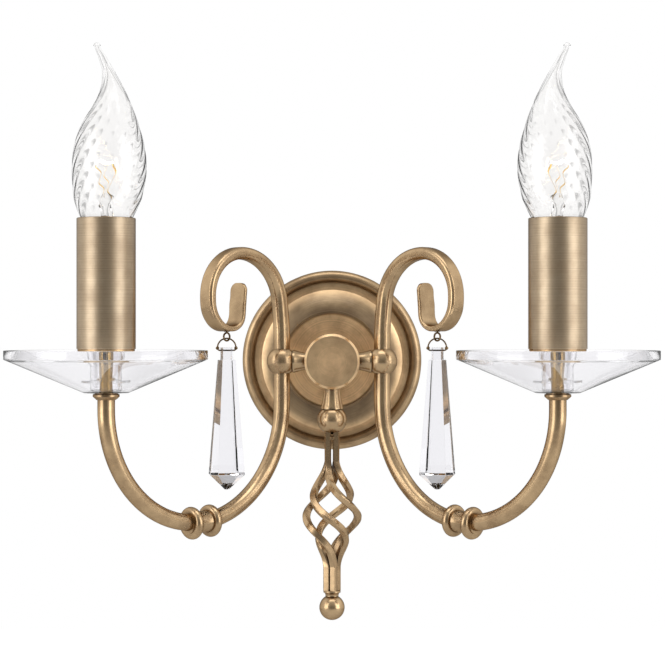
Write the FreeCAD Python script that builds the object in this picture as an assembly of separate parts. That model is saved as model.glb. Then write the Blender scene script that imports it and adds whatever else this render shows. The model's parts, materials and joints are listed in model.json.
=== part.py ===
"""Double-arm wall sconce in aged brass, with glass dishes and crystal drops.

Lengths are in millimetres and angles in degrees. The origin is the centre of
the round backplate on the wall plane: +X is the viewer's right, +Y points
into the wall and +Z is up. The left half is built first, and the right half
is its mirror image in the plane X = 0.
"""
import FreeCAD
import Part
import math
import os

from FreeCAD import Placement, Rotation, Vector

# --- Wall plate and bracket ---------------------------------------------
PLATE_RADIUS = 51.0
PLATE_DEPTH = 20.0
PLATE_SHEET = 1.2
PLATE_RIM = 1.6              # straight edge at the wall
PLATE_BEAD = 6.4             # width of the rounded outer bead
PLATE_BEAD_BULGE = (1.4, 0.2) # its middle: out from halfway, short of the ledge
PLATE_BEAD_FALL = 1.0        # from the ledge to the bead's inner edge
PLATE_LEDGE_OUT = 43.8       # flat ledge inside the bead
PLATE_LEDGE_IN = 40.0
PLATE_LEDGE_DEPTH = 5.4
PLATE_DOME_IN = 27.8
PLATE_DOME_DEPTH = 16.6
PLATE_DOME_HOLLOW = (0.6, 1.0) # its middle, inwards and back from halfway
PLATE_STEP = 0.2             # rise of the flat under the disc's edge
PLATE_DISC_RADIUS = 25.6

BRACKET_LENGTH = 88.0
BRACKET_WIDTH = 20.0
BRACKET_THICKNESS = 2.0
SLOT_SPACING = 60.0
SLOT_WIDTH = 5.0
SLOT_LENGTH = 14.0

NIPPLE_RADIUS = 5.0
NIPPLE_BORE = 3.6
NIPPLE_ENGAGEMENT = 8.0      # depth of the nipple in the hub
LOCKNUT_FLATS = 14.0
LOCKNUT_HEIGHT = 3.5
TERMINAL_SIZE = (9.0, 11.0, 18.0)
TERMINAL_X = 14.5
TERMINAL_SCREW_RADIUS = 1.6
TERMINAL_WAYS = 3
EARTH_SCREW_X = -14.5
EARTH_SCREW_RADIUS = 2.0
EARTH_HEAD_RADIUS = 3.6
EARTH_HEAD_HEIGHT = 2.6
EARTH_SLOT = (0.8, 1.2)      # width and depth of the driver slot

# --- Hub -----------------------------------------------------------------
NECK_DEPTH = 51.0            # of the three necks, in front of the wall
NECK_TO_CAP = 6.0            # from the necks' axis to the back of the cap
HUB_FRONT = NECK_DEPTH + NECK_TO_CAP
HUB_FOOT_RADIUS = 13.0
HUB_FOOT_HEIGHT = 3.0
HUB_WAIST_RADIUS = 9.6
HUB_BARREL_RADIUS = 12.4
HUB_BARREL_LENGTH = 15.0
CAP_RADIUS = 15.0
CAP_THICKNESS = 3.6
CAP_BEVEL = 1.3
CAP_SPIGOT_RADIUS = 6.0
CAP_SPIGOT_LENGTH = 3.0
CAP_SPIGOT_ROOM = 4.0        # depth of its hole in the hub
NECK_SEAT = 1.5              # depth of a neck in the barrel

# --- Balls and necks ------------------------------------------------------
BALL_RADIUS = 8.15
SIDE_BALL_X = 27.4
SIDE_BALL_HALF_HEIGHT = 6.4
SIDE_NECK_ROOT = 4.6
SIDE_NECK_END = 6.2
DROP_BALL_RADIUS = 8.0
DROP_BALL_Z = -31.8
DROP_NECK_ROOT = 4.2
DROP_NECK_END = 6.1
NECK_LIP = 2.2               # how far a neck reaches round its ball
NECK_BAND = 1.0              # straight rim at a neck's lip
NECK_FLARE = 0.35            # share of the flare reached halfway along
WIRE_BORE = 3.2              # of the balls, up to the tubes
NECK_BORE = 2.8
EDGE_BREAK = 0.5             # bevel on the turned edges
FINE_BREAK = 0.3             # bevel on thin edges

# --- Arm ------------------------------------------------------------------
ARM_ANGLE = 45.0             # of the arm's plane, forward from the wall
ARM_TUBE_RADIUS = 4.4
ARM_TUBE_WALL = 1.0
ARM_BEND_RADIUS = 60.5
ARM_BEND_Z = -23.0           # height of the bend's centre
TUBE_SEAT = 1.2              # depth of a tube's end in its seat

KNUCKLE_ANGLE = 2.0          # past the lowest point, towards the hub
KNUCKLE_RING_RADIUS = 8.55
KNUCKLE_RING_WIDTH = 4.8
KNUCKLE_RING_SPACING = 12.7
KNUCKLE_WAIST_RADIUS = 5.6
KNUCKLE_LIP_RADIUS = 5.4
KNUCKLE_LIP = 0.5
KNUCKLE_WAIST_HOLLOW = 0.4

# --- Scroll ---------------------------------------------------------------
SCROLL_STEM = 3.0
SCROLL_ARCS = ((170.0, 8.0), (29.0, 82.0), (23.0, 90.0))
SCROLL_DROP = 2.5
SCROLL_CURL = ((16.0, 45.0), (12.0, 45.0), (7.5, 85.0))
SCROLL_TONGUE = 17.6
SCROLL_TIP_RADIUS = 4.4
SCROLL_EDGE = 0.35           # share of the thickness rounded at each edge
# (share of the length, thickness, width) of the bar as it flattens
SCROLL_SECTIONS = ((0.0, 8.8, 8.8), (0.17, 8.6, 8.8), (0.43, 6.6, 9.0),
                   (0.66, 4.4, 9.6), (0.80, 3.0, 10.8), (0.88, 2.3, 11.8),
                   (1.0, 2.0, 12.0))
SCROLL_STATIONS = 34
SCROLL_SQUARING = (0.2, 0.6) # shares between which the round bar turns square
SCROLL_TIP_ANGLES = (0, 30, 55, 75, 88)

# --- Candle stack: heights are measured from the hub's centre line --------
CUP_COLLAR_RADIUS = 6.7
CUP_COLLAR_FLANGE = 1.3
CUP_COLLAR_CONE = 1.6
CUP_COLLAR_BOSS_RADIUS = 5.8
CUP_COLLAR_BOSS = 0.6
GLASS_BASE_Z = -14.5
DISH_RADIUS = 50.8
DISH_BASE_RADIUS = 11.2
DISH_RIM_HEIGHT = 4.5
DISH_TOP_Z = 6.7
DISH_WALL = 3.0
DISH_FLOOR = 7.1
DISH_FLOOR_RADIUS = 12.3
DISH_WELL_RADIUS = 7.9
DISH_WELL_WALL = 1.6
DISH_WELL_HEIGHT = 7.8
SPINDLE_RADIUS = 3.2
SPINDLE_TOP_RADIUS = 3.8
SPINDLE_BORE = 2.1
SPINDLE_SHOULDER_RADIUS = 4.7
SPINDLE_SHOULDER = 0.9
SPINDLE_TAIL = 6.0           # length below the collar's top
SPINDLE_HOLE_RADIUS = 1.2
SPINDLE_HOLE_DROP = 3.4      # of the side hole below the seat
SPINDLE_CLEARANCE = 0.2
SPINDLE_SPIGOT = 2.8         # radius of its end through seat and holder
SPIGOT_SHORT = 1.0           # how far that end stops below the holder's floor
SEAT_RADIUS = 14.3
SEAT_THICKNESS = 1.2
CANDLE_Z = 7.45
CANDLE_RADIUS = 14.75
CANDLE_HEIGHT = 65.5
CANDLE_WALL = 0.9
CANDLE_CLEARANCE = 0.15
HOLDER_RADIUS = 11.6
HOLDER_HEIGHT = 53.0
HOLDER_FLOOR = 4.0
HOLDER_FOOT_RADIUS = 7.0
HOLDER_SOCKET_DEPTH = 24.0
HOLDER_RIM = 1.0
HOLDER_DECK = 1.5            # floor under the socket
HOLDER_WIRE_HOLE = 1.6
SEAT_SPIGOT = 1.0

# --- Lamp -----------------------------------------------------------------
SCREW_CAP_RADIUS = 6.9
SCREW_CAP_LENGTH = 19.0
SCREW_THREADS = 5
SCREW_PITCH = 2.8
SCREW_DEPTH = 0.6
SCREW_SKIRT_RADIUS = 7.9
SCREW_SKIRT_HEIGHT = 2.4
SCREW_CLEARANCE = 0.3
SCREW_LEAD = 1.2             # plain end below the first thread
CONTACT_RADIUS = 2.4
CONTACT_HEIGHT = 1.6
INSULATOR_HEIGHT = 2.4
INSULATOR_SHOULDER = 1.8     # step in from the thread to the insulator
LAMP_WALL = 0.8
LEAST_BORE = 0.4             # the glass is solid where it is narrower
# (height above the skirt, radius, lean towards the hub) of the flame glass
FLAME_SECTIONS = ((0.0, 8.0, 0.0), (5.0, 9.6, 0.1), (12.0, 11.6, 0.3),
                  (17.0, 15.0, 0.5), (23.0, 17.2, 0.9), (33.0, 18.5, 1.5),
                  (41.0, 18.6, 1.6), (51.0, 17.1, 1.6), (61.0, 13.7, 2.2),
                  (69.0, 9.6, 3.2), (77.0, 6.0, 3.2), (86.0, 3.2, 1.2),
                  (94.0, 1.9, -2.2), (99.0, 1.4, -4.8))
FLAME_TIP_RADIUS = 1.5
STEM_RADIUS = 3.0
STEM_FLARE_RADIUS = 6.6
STEM_HEIGHT = 22.0
STEM_PINCH = 1.0             # bevel at its top
STEM_WIRES = 1.5             # half the spacing of the wires at its top
FILAMENT_HEIGHT = 37.0
FILAMENT_WIDTH = 9.0
FILAMENT_WIRE = 0.35
FILAMENT_COIL = 0.8

# --- Crystal drop -----------------------------------------------------------
CRYSTAL_TURN = 9.0           # the drop hangs a little turned
EYELET_RING_RADIUS = 2.1
EYELET_WIRE = 0.5
EYELET_NECK = 0.2            # of the washer above the ring
EYELET_HEAD_RADIUS = 1.5
EYELET_HEAD = 0.8
EYELET_HEAD_SINK = 0.2
CLIP_WIRE = 0.4
CLIP_RADIUS = 4.9
CLIP_LEG = 1.45
CLIP_PLAY = 0.35
CLIP_KNOB_RADIUS = 0.95
CRYSTAL_HOLE_CLEARANCE = 0.1
CRYSTAL_HEAD = 6.6
CRYSTAL_HEAD_WIDTH = 6.4
CRYSTAL_HEAD_DEPTH = 5.0
CRYSTAL_HEAD_TOP = 1.5       # above the clip's pin
CRYSTAL_SHOULDER_WIDTH = 9.0
CRYSTAL_FOOT_WIDTH = 18.2
CRYSTAL_HEAD_BEVEL = 0.9
CRYSTAL_BODY = 60.6
CRYSTAL_POINT = 8.0
CRYSTAL_POINT_WIDTH = 2.2
CRYSTAL_CHAMFER = 0.205      # share of the width cut at each corner

# --- Basket -----------------------------------------------------------------
BASKET_BARS = 4
BASKET_BAR = 3.6
BASKET_BAR_EDGE = 0.55       # cut off each long edge
BASKET_HEAD_OFFSET = 3.18
BASKET_FOOT_OFFSET = 2.75
BASKET_BULGE = 14.1
BASKET_TWIST = 244.0
BASKET_EASE = 0.25           # how much gentler the twist is at the ends
BASKET_TOP_Z = -54.5
BASKET_BOTTOM_Z = -111.8
BASKET_HEAD_SEAT = 2.2       # depth of the bars in the ball
BASKET_FOOT_Z = -124.9
BASKET_STATIONS = 25
PIN_RADIUS = 1.2
PIN_Z = -41.9
PIN_HEAD = 0.5
PIN_TIP_RADIUS = 0.7
COLLAR_RADIUS = 4.7
COLLAR_HEIGHT = 3.0
COLLAR_BAND = 1.0            # straight edge of the collar
COLLAR_HOLLOW = (0.9, 1.8)   # in from the edge and down, of its curved foot
COLLAR_FOOT = 0.6            # how far its foot stands out from the finial's flat
FINIAL_RADIUS = 6.9
FINIAL_SEAT_RADIUS = 3.0

# --- Places worked out from the sizes above --------------------------------
ARM_SPAN = 2 * ARM_BEND_RADIUS
BALL_CENTRE = Vector(-SIDE_BALL_X, -NECK_DEPTH, 0)
ARM_TURN = Rotation(Vector(0, 0, 1), 180 + ARM_ANGLE)
ARM_PLACE = Placement(BALL_CENTRE, ARM_TURN)
CANDLE_CENTRE = ARM_PLACE.multVec(Vector(ARM_SPAN, 0, 0))
CUP_COLLAR_TOP = GLASS_BASE_Z
CUP_COLLAR_BOTTOM = CUP_COLLAR_TOP - CUP_COLLAR_BOSS - CUP_COLLAR_FLANGE - CUP_COLLAR_CONE
SEAT_BOTTOM = CANDLE_Z - SEAT_THICKNESS
HOLDER_TOP = CANDLE_Z + HOLDER_HEIGHT
FLAME_BASE = HOLDER_TOP + SCREW_SKIRT_HEIGHT
CAP_FRONT = HUB_FRONT + CAP_THICKNESS
UP = Vector(0, 0, 1)


# --- Shape helpers -----------------------------------------------------------
def outline_face(steps):
    """Return a face in the XZ plane from corners (x, z) and arcs (mid, end)."""
    points = [Vector(step[0], 0, step[1]) for step in steps if not isinstance(step[0], tuple)]
    current = points[0]
    first = current
    edges = []
    for step in steps[1:]:
        if isinstance(step[0], tuple):
            middle, end = (Vector(x, 0, z) for x, z in step)
            edges.append(Part.Arc(current, middle, end).toShape())
        else:
            end = Vector(step[0], 0, step[1])
            edges.append(Part.makeLine(current, end))
        current = end
    if current.distanceToPoint(first) > 1e-6:
        edges.append(Part.makeLine(current, first))
    return Part.Face(Part.Wire(edges))


def turned(steps):
    """Return the solid that an outline of (radius, height) steps turns about Z."""
    return outline_face(steps).revolve(Vector(0, 0, 0), UP, 360)


def facing_front(shape, height=0.0):
    """Lay a shape turned about Z so that its +Z points out from the wall."""
    return moved(shape, Placement(Vector(0, 0, height), Rotation(Vector(1, 0, 0), 90)))


def moved(shape, placement):
    """Return a copy of the shape moved by the placement."""
    result = shape.copy()
    result.Placement = placement.multiply(result.Placement)
    return result


def raised(shape, height):
    """Return a copy of the shape moved up by the height."""
    return moved(shape, Placement(Vector(0, 0, height), Rotation()))


def pipe(radius, wall, length):
    """Return a straight tube along +Z from the origin."""
    outer = Part.makeCylinder(radius, length)
    return outer.cut(Part.makeCylinder(radius - wall, length))


def hexagon(flats, height):
    """Return a hexagonal prism on the XY plane, measured across its flats."""
    corner = flats / math.sqrt(3)
    points = [Vector(corner * math.cos(math.radians(60 * i)), corner * math.sin(math.radians(60 * i)), 0)
              for i in range(7)]
    return Part.Face(Part.makePolygon(points)).extrude(Vector(0, 0, height))


def rounded_section(width, depth, corner, placement):
    """Return a rounded rectangle wire, centred and placed, with eight edges."""
    half_w = width / 2
    half_d = depth / 2
    corner = min(corner, half_w * 0.98, half_d * 0.98)
    diagonal = corner * (1 - math.sqrt(0.5))
    edges = []
    for turn in range(4):
        along, across = (half_w, half_d) if turn % 2 == 0 else (half_d, half_w)
        rotation = Rotation(UP, 90 * turn)
        start = rotation.multVec(Vector(along, corner - across, 0))
        end = rotation.multVec(Vector(along, across - corner, 0))
        middle = rotation.multVec(Vector(along - diagonal, across - diagonal, 0))
        after = rotation.multVec(Vector(along - corner, across, 0))
        edges.append(Part.makeLine(start, end))
        edges.append(Part.Arc(end, middle, after).toShape())
    return moved(Part.Wire(edges), placement)


def bent_tube(radius, start, end):
    """Return a solid bar on the arm's bend between two angles, in arm axes.

    The angles run from 0 under the side ball to 180 under the candle.
    """
    centre = Vector(ARM_SPAN / 2, 0, ARM_BEND_Z)
    disc = Part.Face(Part.Wire(Part.makeCircle(radius, centre - Vector(ARM_BEND_RADIUS, 0, 0), UP)))
    bar = disc.revolve(centre, Vector(0, -1, 0), end - start)
    bar.rotate(centre, Vector(0, -1, 0), start)
    return bar


def bend_placement(angle):
    """Return the frame on the bend at an angle, with +Z along the tube."""
    turn = Rotation(Vector(0, -1, 0), angle)
    centre = Vector(ARM_SPAN / 2, 0, ARM_BEND_Z)
    point = centre + turn.multVec(Vector(-ARM_BEND_RADIUS, 0, 0))
    return Placement(point, turn.multiply(Rotation(Vector(1, 0, 0), 180)))


# --- Wall side ------------------------------------------------------------------
def make_wall_bracket():
    """Return the steel crossbar with two slots, a middle hole and an earth hole."""
    bar = Part.makeBox(BRACKET_LENGTH, BRACKET_THICKNESS, BRACKET_WIDTH,
                       Vector(-BRACKET_LENGTH / 2, -BRACKET_THICKNESS, -BRACKET_WIDTH / 2))
    corners = [edge for edge in bar.Edges
               if abs(edge.tangentAt(edge.FirstParameter).y) > 0.9]
    bar = bar.makeFillet(BRACKET_WIDTH / 4, corners)
    for side in (-1, 1):
        section = rounded_section(SLOT_LENGTH, SLOT_WIDTH, SLOT_WIDTH / 2, Placement())
        slot = Part.Face(section).extrude(Vector(0, 0, BRACKET_THICKNESS))
        bar = bar.cut(moved(facing_front(slot), Placement(Vector(side * SLOT_SPACING / 2, 0, 0), Rotation())))
    bar = bar.cut(facing_front(Part.makeCylinder(NIPPLE_RADIUS, BRACKET_THICKNESS)))
    earth_hole = Part.makeCylinder(EARTH_SCREW_RADIUS, BRACKET_THICKNESS, Vector(EARTH_SCREW_X, 0, 0))
    return bar.cut(facing_front(earth_hole))


def make_hub_nipple():
    """Return the hollow threaded pipe from the bracket into the hub."""
    length = PLATE_DEPTH + NIPPLE_ENGAGEMENT
    return facing_front(pipe(NIPPLE_RADIUS, NIPPLE_RADIUS - NIPPLE_BORE, length))


def make_hub_locknut():
    """Return the hexagonal nut that clamps the nipple to the bracket."""
    nut = hexagon(LOCKNUT_FLATS, LOCKNUT_HEIGHT).cut(Part.makeCylinder(NIPPLE_RADIUS, LOCKNUT_HEIGHT))
    return facing_front(raised(nut, BRACKET_THICKNESS))


def make_earth_screw():
    """Return the slotted pan-head screw in the bracket."""
    shank = Part.makeCylinder(EARTH_SCREW_RADIUS, BRACKET_THICKNESS)
    head = turned([(0, 0), (EARTH_HEAD_RADIUS, 0), (EARTH_HEAD_RADIUS, EARTH_HEAD_HEIGHT * 0.6),
                   (EARTH_HEAD_RADIUS * 0.6, EARTH_HEAD_HEIGHT), (0, EARTH_HEAD_HEIGHT)])
    width, depth = EARTH_SLOT
    driver = Part.makeBox(2 * EARTH_HEAD_RADIUS, width, depth,
                          Vector(-EARTH_HEAD_RADIUS, -width / 2, EARTH_HEAD_HEIGHT - depth))
    screw = shank.fuse(raised(head.cut(driver), BRACKET_THICKNESS)).removeSplitter()
    return moved(facing_front(screw), Placement(Vector(EARTH_SCREW_X, 0, 0), Rotation()))


def make_terminal_block():
    """Return the connector block with a row of screw wells and wire ways."""
    width, depth, height = TERMINAL_SIZE
    corner = Vector(TERMINAL_X - width / 2, -BRACKET_THICKNESS - depth, -height / 2)
    block = Part.makeBox(width, depth, height, corner)
    pitch = height / TERMINAL_WAYS
    for way in range(TERMINAL_WAYS):
        z = -height / 2 + pitch * (way + 0.5)
        well = Part.makeCylinder(TERMINAL_SCREW_RADIUS, depth / 2,
                                 Vector(TERMINAL_X, -BRACKET_THICKNESS - depth, z), Vector(0, 1, 0))
        wire_way = Part.makeCylinder(TERMINAL_SCREW_RADIUS, width,
                                     Vector(TERMINAL_X - width / 2, -BRACKET_THICKNESS - depth / 2, z),
                                     Vector(1, 0, 0))
        block = block.cut(well).cut(wire_way)
    return block


def make_backplate():
    """Return the spun dish: outer bead, ledge, dome, step and flat disc."""
    t = PLATE_SHEET
    bead_in = PLATE_RADIUS - PLATE_BEAD
    bead_edge = PLATE_LEDGE_DEPTH - PLATE_BEAD_FALL
    bulge_out, bulge_back = PLATE_BEAD_BULGE
    bead_middle = ((PLATE_RADIUS + bead_in) / 2 + bulge_out, PLATE_LEDGE_DEPTH - bulge_back)
    hollow_in, hollow_back = PLATE_DOME_HOLLOW
    dome_middle = ((PLATE_LEDGE_IN + PLATE_DOME_IN) / 2 - hollow_in,
                   (PLATE_LEDGE_DEPTH + PLATE_DOME_DEPTH) / 2 - hollow_back)
    outline = [
        (PLATE_RADIUS, 0),
        (PLATE_RADIUS, PLATE_RIM),
        (bead_middle, (bead_in, bead_edge)),
        (PLATE_LEDGE_OUT, PLATE_LEDGE_DEPTH),
        (PLATE_LEDGE_IN, PLATE_LEDGE_DEPTH),
        (dome_middle, (PLATE_DOME_IN, PLATE_DOME_DEPTH)),
        (PLATE_DISC_RADIUS + t, PLATE_DOME_DEPTH + PLATE_STEP),
        (PLATE_DISC_RADIUS, PLATE_DEPTH),
        (NIPPLE_RADIUS, PLATE_DEPTH),
        (NIPPLE_RADIUS, PLATE_DEPTH - t),
        (PLATE_DISC_RADIUS - t, PLATE_DEPTH - t),
        (PLATE_DISC_RADIUS, PLATE_DOME_DEPTH - t),
        (PLATE_DOME_IN - t / 2, PLATE_DOME_DEPTH - t),
        ((dome_middle[0] - t / 2, dome_middle[1] - t),
         (PLATE_LEDGE_IN - t / 2, PLATE_LEDGE_DEPTH - t)),
        (PLATE_LEDGE_OUT, PLATE_LEDGE_DEPTH - t),
        (bead_in, bead_edge - t),
        ((bead_middle[0] - t / 2, bead_middle[1] - t), (PLATE_RADIUS - t, PLATE_RIM)),
        (PLATE_RADIUS - t, 0),
    ]
    return facing_front(turned(outline))


# --- Hub ---------------------------------------------------------------------------
def make_hub_body():
    """Return the turned hub with sockets for the nipple, cap and three necks."""
    barrel_start = HUB_FRONT - HUB_BARREL_LENGTH
    foot_top = PLATE_DEPTH + HUB_FOOT_HEIGHT
    cove = (foot_top + barrel_start) / 2
    outline = [
        (0, PLATE_DEPTH),
        (HUB_FOOT_RADIUS - EDGE_BREAK, PLATE_DEPTH),
        (HUB_FOOT_RADIUS, PLATE_DEPTH + EDGE_BREAK),
        (HUB_FOOT_RADIUS, foot_top - EDGE_BREAK),
        (HUB_FOOT_RADIUS - EDGE_BREAK, foot_top),
        ((HUB_WAIST_RADIUS, cove), (HUB_BARREL_RADIUS - EDGE_BREAK, barrel_start)),
        (HUB_BARREL_RADIUS, barrel_start + EDGE_BREAK),
        (HUB_BARREL_RADIUS, HUB_FRONT),
        (0, HUB_FRONT),
    ]
    body = facing_front(turned(outline))
    nipple_hole = Part.makeCylinder(NIPPLE_RADIUS, NIPPLE_ENGAGEMENT, Vector(0, 0, PLATE_DEPTH))
    wire_room = Part.makeCylinder(NIPPLE_BORE, HUB_FRONT - PLATE_DEPTH, Vector(0, 0, PLATE_DEPTH))
    spigot_hole = Part.makeCylinder(CAP_SPIGOT_RADIUS, CAP_SPIGOT_ROOM,
                                    Vector(0, 0, HUB_FRONT - CAP_SPIGOT_ROOM))
    for hole in (nipple_hole, wire_room, spigot_hole):
        body = body.cut(facing_front(hole))
    seat = HUB_BARREL_RADIUS - NECK_SEAT
    centre = Vector(0, -NECK_DEPTH, 0)
    for direction, root in ((Vector(1, 0, 0), SIDE_NECK_ROOT), (Vector(-1, 0, 0), SIDE_NECK_ROOT),
                            (Vector(0, 0, -1), DROP_NECK_ROOT)):
        body = body.cut(Part.makeCylinder(root, 2 * NECK_SEAT, centre + direction * seat, direction))
        body = body.cut(Part.makeCylinder(NECK_BORE, seat, centre, direction))
    return body


def make_hub_cap():
    """Return the flat cap with a bevelled rim and a spigot into the hub."""
    outline = [
        (0, HUB_FRONT - CAP_SPIGOT_LENGTH),
        (CAP_SPIGOT_RADIUS, HUB_FRONT - CAP_SPIGOT_LENGTH),
        (CAP_SPIGOT_RADIUS, HUB_FRONT),
        (CAP_RADIUS - EDGE_BREAK, HUB_FRONT),
        (CAP_RADIUS, HUB_FRONT + EDGE_BREAK),
        (CAP_RADIUS, CAP_FRONT - CAP_BEVEL),
        (CAP_RADIUS - CAP_BEVEL, CAP_FRONT),
        (0, CAP_FRONT),
    ]
    return facing_front(turned(outline))


def make_neck(root, end, length, ball_radius):
    """Return a hollow neck along +Z that flares from the hub to its ball.

    The neck starts at the bottom of its seat in the barrel, and its far end
    is hollowed to the ball, whose centre lies at the given length from the
    hub's axis.
    """
    start = HUB_BARREL_RADIUS - NECK_SEAT
    lip = length - ball_radius + NECK_LIP
    outline = [
        (0, start),
        (root, start),
        (root, HUB_BARREL_RADIUS),
        ((root + (end - root) * NECK_FLARE, (HUB_BARREL_RADIUS + lip) / 2), (end, lip - NECK_BAND)),
        (end, lip),
        (0, lip),
    ]
    neck = turned(outline)
    neck = neck.cut(Part.makeSphere(ball_radius, Vector(0, 0, length)))
    return neck.cut(Part.makeCylinder(NECK_BORE, length))


def make_side_neck():
    """Return the left neck, lying along -X at the hub's height."""
    neck = make_neck(SIDE_NECK_ROOT, SIDE_NECK_END, SIDE_BALL_X, BALL_RADIUS)
    return moved(neck, Placement(Vector(0, -NECK_DEPTH, 0), Rotation(Vector(0, 1, 0), -90)))


def make_bottom_neck():
    """Return the neck that points straight down."""
    neck = make_neck(DROP_NECK_ROOT, DROP_NECK_END, -DROP_BALL_Z, DROP_BALL_RADIUS)
    return moved(neck, Placement(Vector(0, -NECK_DEPTH, 0), Rotation(Vector(1, 0, 0), 180)))


def make_side_ball():
    """Return the left ball, flat above and below, with seats for bar and tube."""
    height = 2 * SIDE_BALL_HALF_HEIGHT
    ball = Part.makeSphere(BALL_RADIUS)
    slab = Part.makeCylinder(BALL_RADIUS + 1, height, Vector(0, 0, -SIDE_BALL_HALF_HEIGHT))
    ball = ball.common(slab)
    seat = SIDE_BALL_HALF_HEIGHT - TUBE_SEAT
    ball = ball.cut(Part.makeCylinder(ARM_TUBE_RADIUS, TUBE_SEAT, Vector(0, 0, seat)))
    ball = ball.cut(Part.makeCylinder(ARM_TUBE_RADIUS, TUBE_SEAT, Vector(0, 0, -SIDE_BALL_HALF_HEIGHT)))
    ball = ball.cut(Part.makeCylinder(WIRE_BORE, seat, Vector(0, 0, -seat)))
    ball = ball.cut(Part.makeCylinder(NECK_BORE, BALL_RADIUS, Vector(0, 0, 0), Vector(1, 0, 0)))
    return moved(ball, Placement(BALL_CENTRE, Rotation()))


def make_bottom_ball():
    """Return the ball under the hub, with pockets for the basket's bars."""
    ball = Part.makeSphere(DROP_BALL_RADIUS, Vector(0, -NECK_DEPTH, DROP_BALL_Z))
    for index in range(BASKET_BARS):
        ball = ball.cut(straight_head(index))
    return ball


# --- Arm ---------------------------------------------------------------------------
def knuckle_half_angle():
    """Return half the angle of the bend that the knuckle takes, less its seats."""
    half_length = (KNUCKLE_RING_SPACING + KNUCKLE_RING_WIDTH) / 2
    return math.degrees(math.asin((half_length - TUBE_SEAT) / ARM_BEND_RADIUS))


def hollowed(bar_of_radius):
    """Return a tube, from a function that gives the solid bar of a radius."""
    return bar_of_radius(ARM_TUBE_RADIUS).cut(bar_of_radius(ARM_TUBE_RADIUS - ARM_TUBE_WALL))


def make_inner_arm():
    """Return the tube from the side ball down and round to the knuckle."""
    top = -SIDE_BALL_HALF_HEIGHT + TUBE_SEAT
    end = 90 - KNUCKLE_ANGLE - knuckle_half_angle()

    def bar(radius):
        straight = Part.makeCylinder(radius, top - ARM_BEND_Z, Vector(0, 0, ARM_BEND_Z))
        return straight.fuse(bent_tube(radius, 0, end)).removeSplitter()

    return moved(hollowed(bar), ARM_PLACE)


def make_outer_arm():
    """Return the tube from the knuckle round and up to the cup collar."""
    top = CUP_COLLAR_BOTTOM + TUBE_SEAT
    start = 90 - KNUCKLE_ANGLE + knuckle_half_angle()

    def bar(radius):
        straight = Part.makeCylinder(radius, top - ARM_BEND_Z, Vector(ARM_SPAN, 0, ARM_BEND_Z))
        return straight.fuse(bent_tube(radius, start, 180)).removeSplitter()

    return moved(hollowed(bar), ARM_PLACE)


def make_knuckle():
    """Return the spool with two rounded rings at the foot of the bend."""
    half = (KNUCKLE_RING_SPACING + KNUCKLE_RING_WIDTH) / 2
    ring = KNUCKLE_RING_WIDTH / 2
    edge = KNUCKLE_RING_RADIUS - ring
    spacing = KNUCKLE_RING_SPACING / 2
    waist = KNUCKLE_WAIST_RADIUS + KNUCKLE_WAIST_HOLLOW
    outline = [
        (0, -half - KNUCKLE_LIP),
        (KNUCKLE_LIP_RADIUS, -half - KNUCKLE_LIP),
        (KNUCKLE_LIP_RADIUS, -half),
        (edge, -half),
        ((KNUCKLE_RING_RADIUS, -spacing), (edge, -half + 2 * ring)),
        (waist, -half + 2 * ring),
        ((KNUCKLE_WAIST_RADIUS, 0), (waist, half - 2 * ring)),
        (edge, half - 2 * ring),
        ((KNUCKLE_RING_RADIUS, spacing), (edge, half)),
        (KNUCKLE_LIP_RADIUS, half),
        (KNUCKLE_LIP_RADIUS, half + KNUCKLE_LIP),
        (0, half + KNUCKLE_LIP),
    ]
    middle = 90 - KNUCKLE_ANGLE
    spool = moved(turned(outline), bend_placement(middle))
    gap = knuckle_half_angle()
    reach = 3 * gap
    spool = spool.cut(bent_tube(ARM_TUBE_RADIUS, middle - reach, middle - gap))
    spool = spool.cut(bent_tube(ARM_TUBE_RADIUS, middle + gap, middle + reach))
    spool = spool.cut(bent_tube(ARM_TUBE_RADIUS - ARM_TUBE_WALL, middle - reach, middle + reach))
    return moved(spool, ARM_PLACE)


# --- Scroll ---------------------------------------------------------------------------
def scroll_point(distance):
    """Return (out, up, heading) on the scroll's centre line, in arm axes.

    The heading is measured from straight up towards the candle.
    """
    out, up, heading = 0.0, SIDE_BALL_HALF_HEIGHT - TUBE_SEAT, 0.0
    for radius, turn in scroll_spans():
        length = turn if radius is None else radius * math.radians(turn)
        part = min(distance, length)
        angle = math.radians(heading)
        if radius is None:
            out += part * math.sin(angle)
            up += part * math.cos(angle)
        else:
            after = angle + part / radius
            out += radius * (math.cos(angle) - math.cos(after))
            up += radius * (math.sin(after) - math.sin(angle))
            heading = math.degrees(after)
        distance -= part
        if distance <= 0:
            break
    return out, up, heading


def scroll_spans():
    """Return the spans of the centre line: (None, length) or (radius, turn)."""
    stem = ((None, TUBE_SEAT + SCROLL_STEM),)
    return stem + SCROLL_ARCS + ((None, SCROLL_DROP),) + SCROLL_CURL + ((None, SCROLL_TONGUE),)


def scroll_length():
    """Return the length of the scroll's centre line."""
    return sum(turn if radius is None else radius * math.radians(turn) for radius, turn in scroll_spans())


def scroll_section(share):
    """Return the bar's (thickness, width) at a share of its length."""
    for (low, t_low, w_low), (high, t_high, w_high) in zip(SCROLL_SECTIONS, SCROLL_SECTIONS[1:]):
        if share <= high:
            part = (share - low) / (high - low)
            smooth = part * part * (3 - 2 * part)
            return t_low + (t_high - t_low) * smooth, w_low + (w_high - w_low) * smooth
    return SCROLL_SECTIONS[-1][1:]


def scroll_placement(distance):
    """Return the frame of a section: X through the bar, Y across its width."""
    out, up, heading = scroll_point(distance)
    return Placement(Vector(out, 0, up), Rotation(Vector(0, 1, 0), heading))


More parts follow.
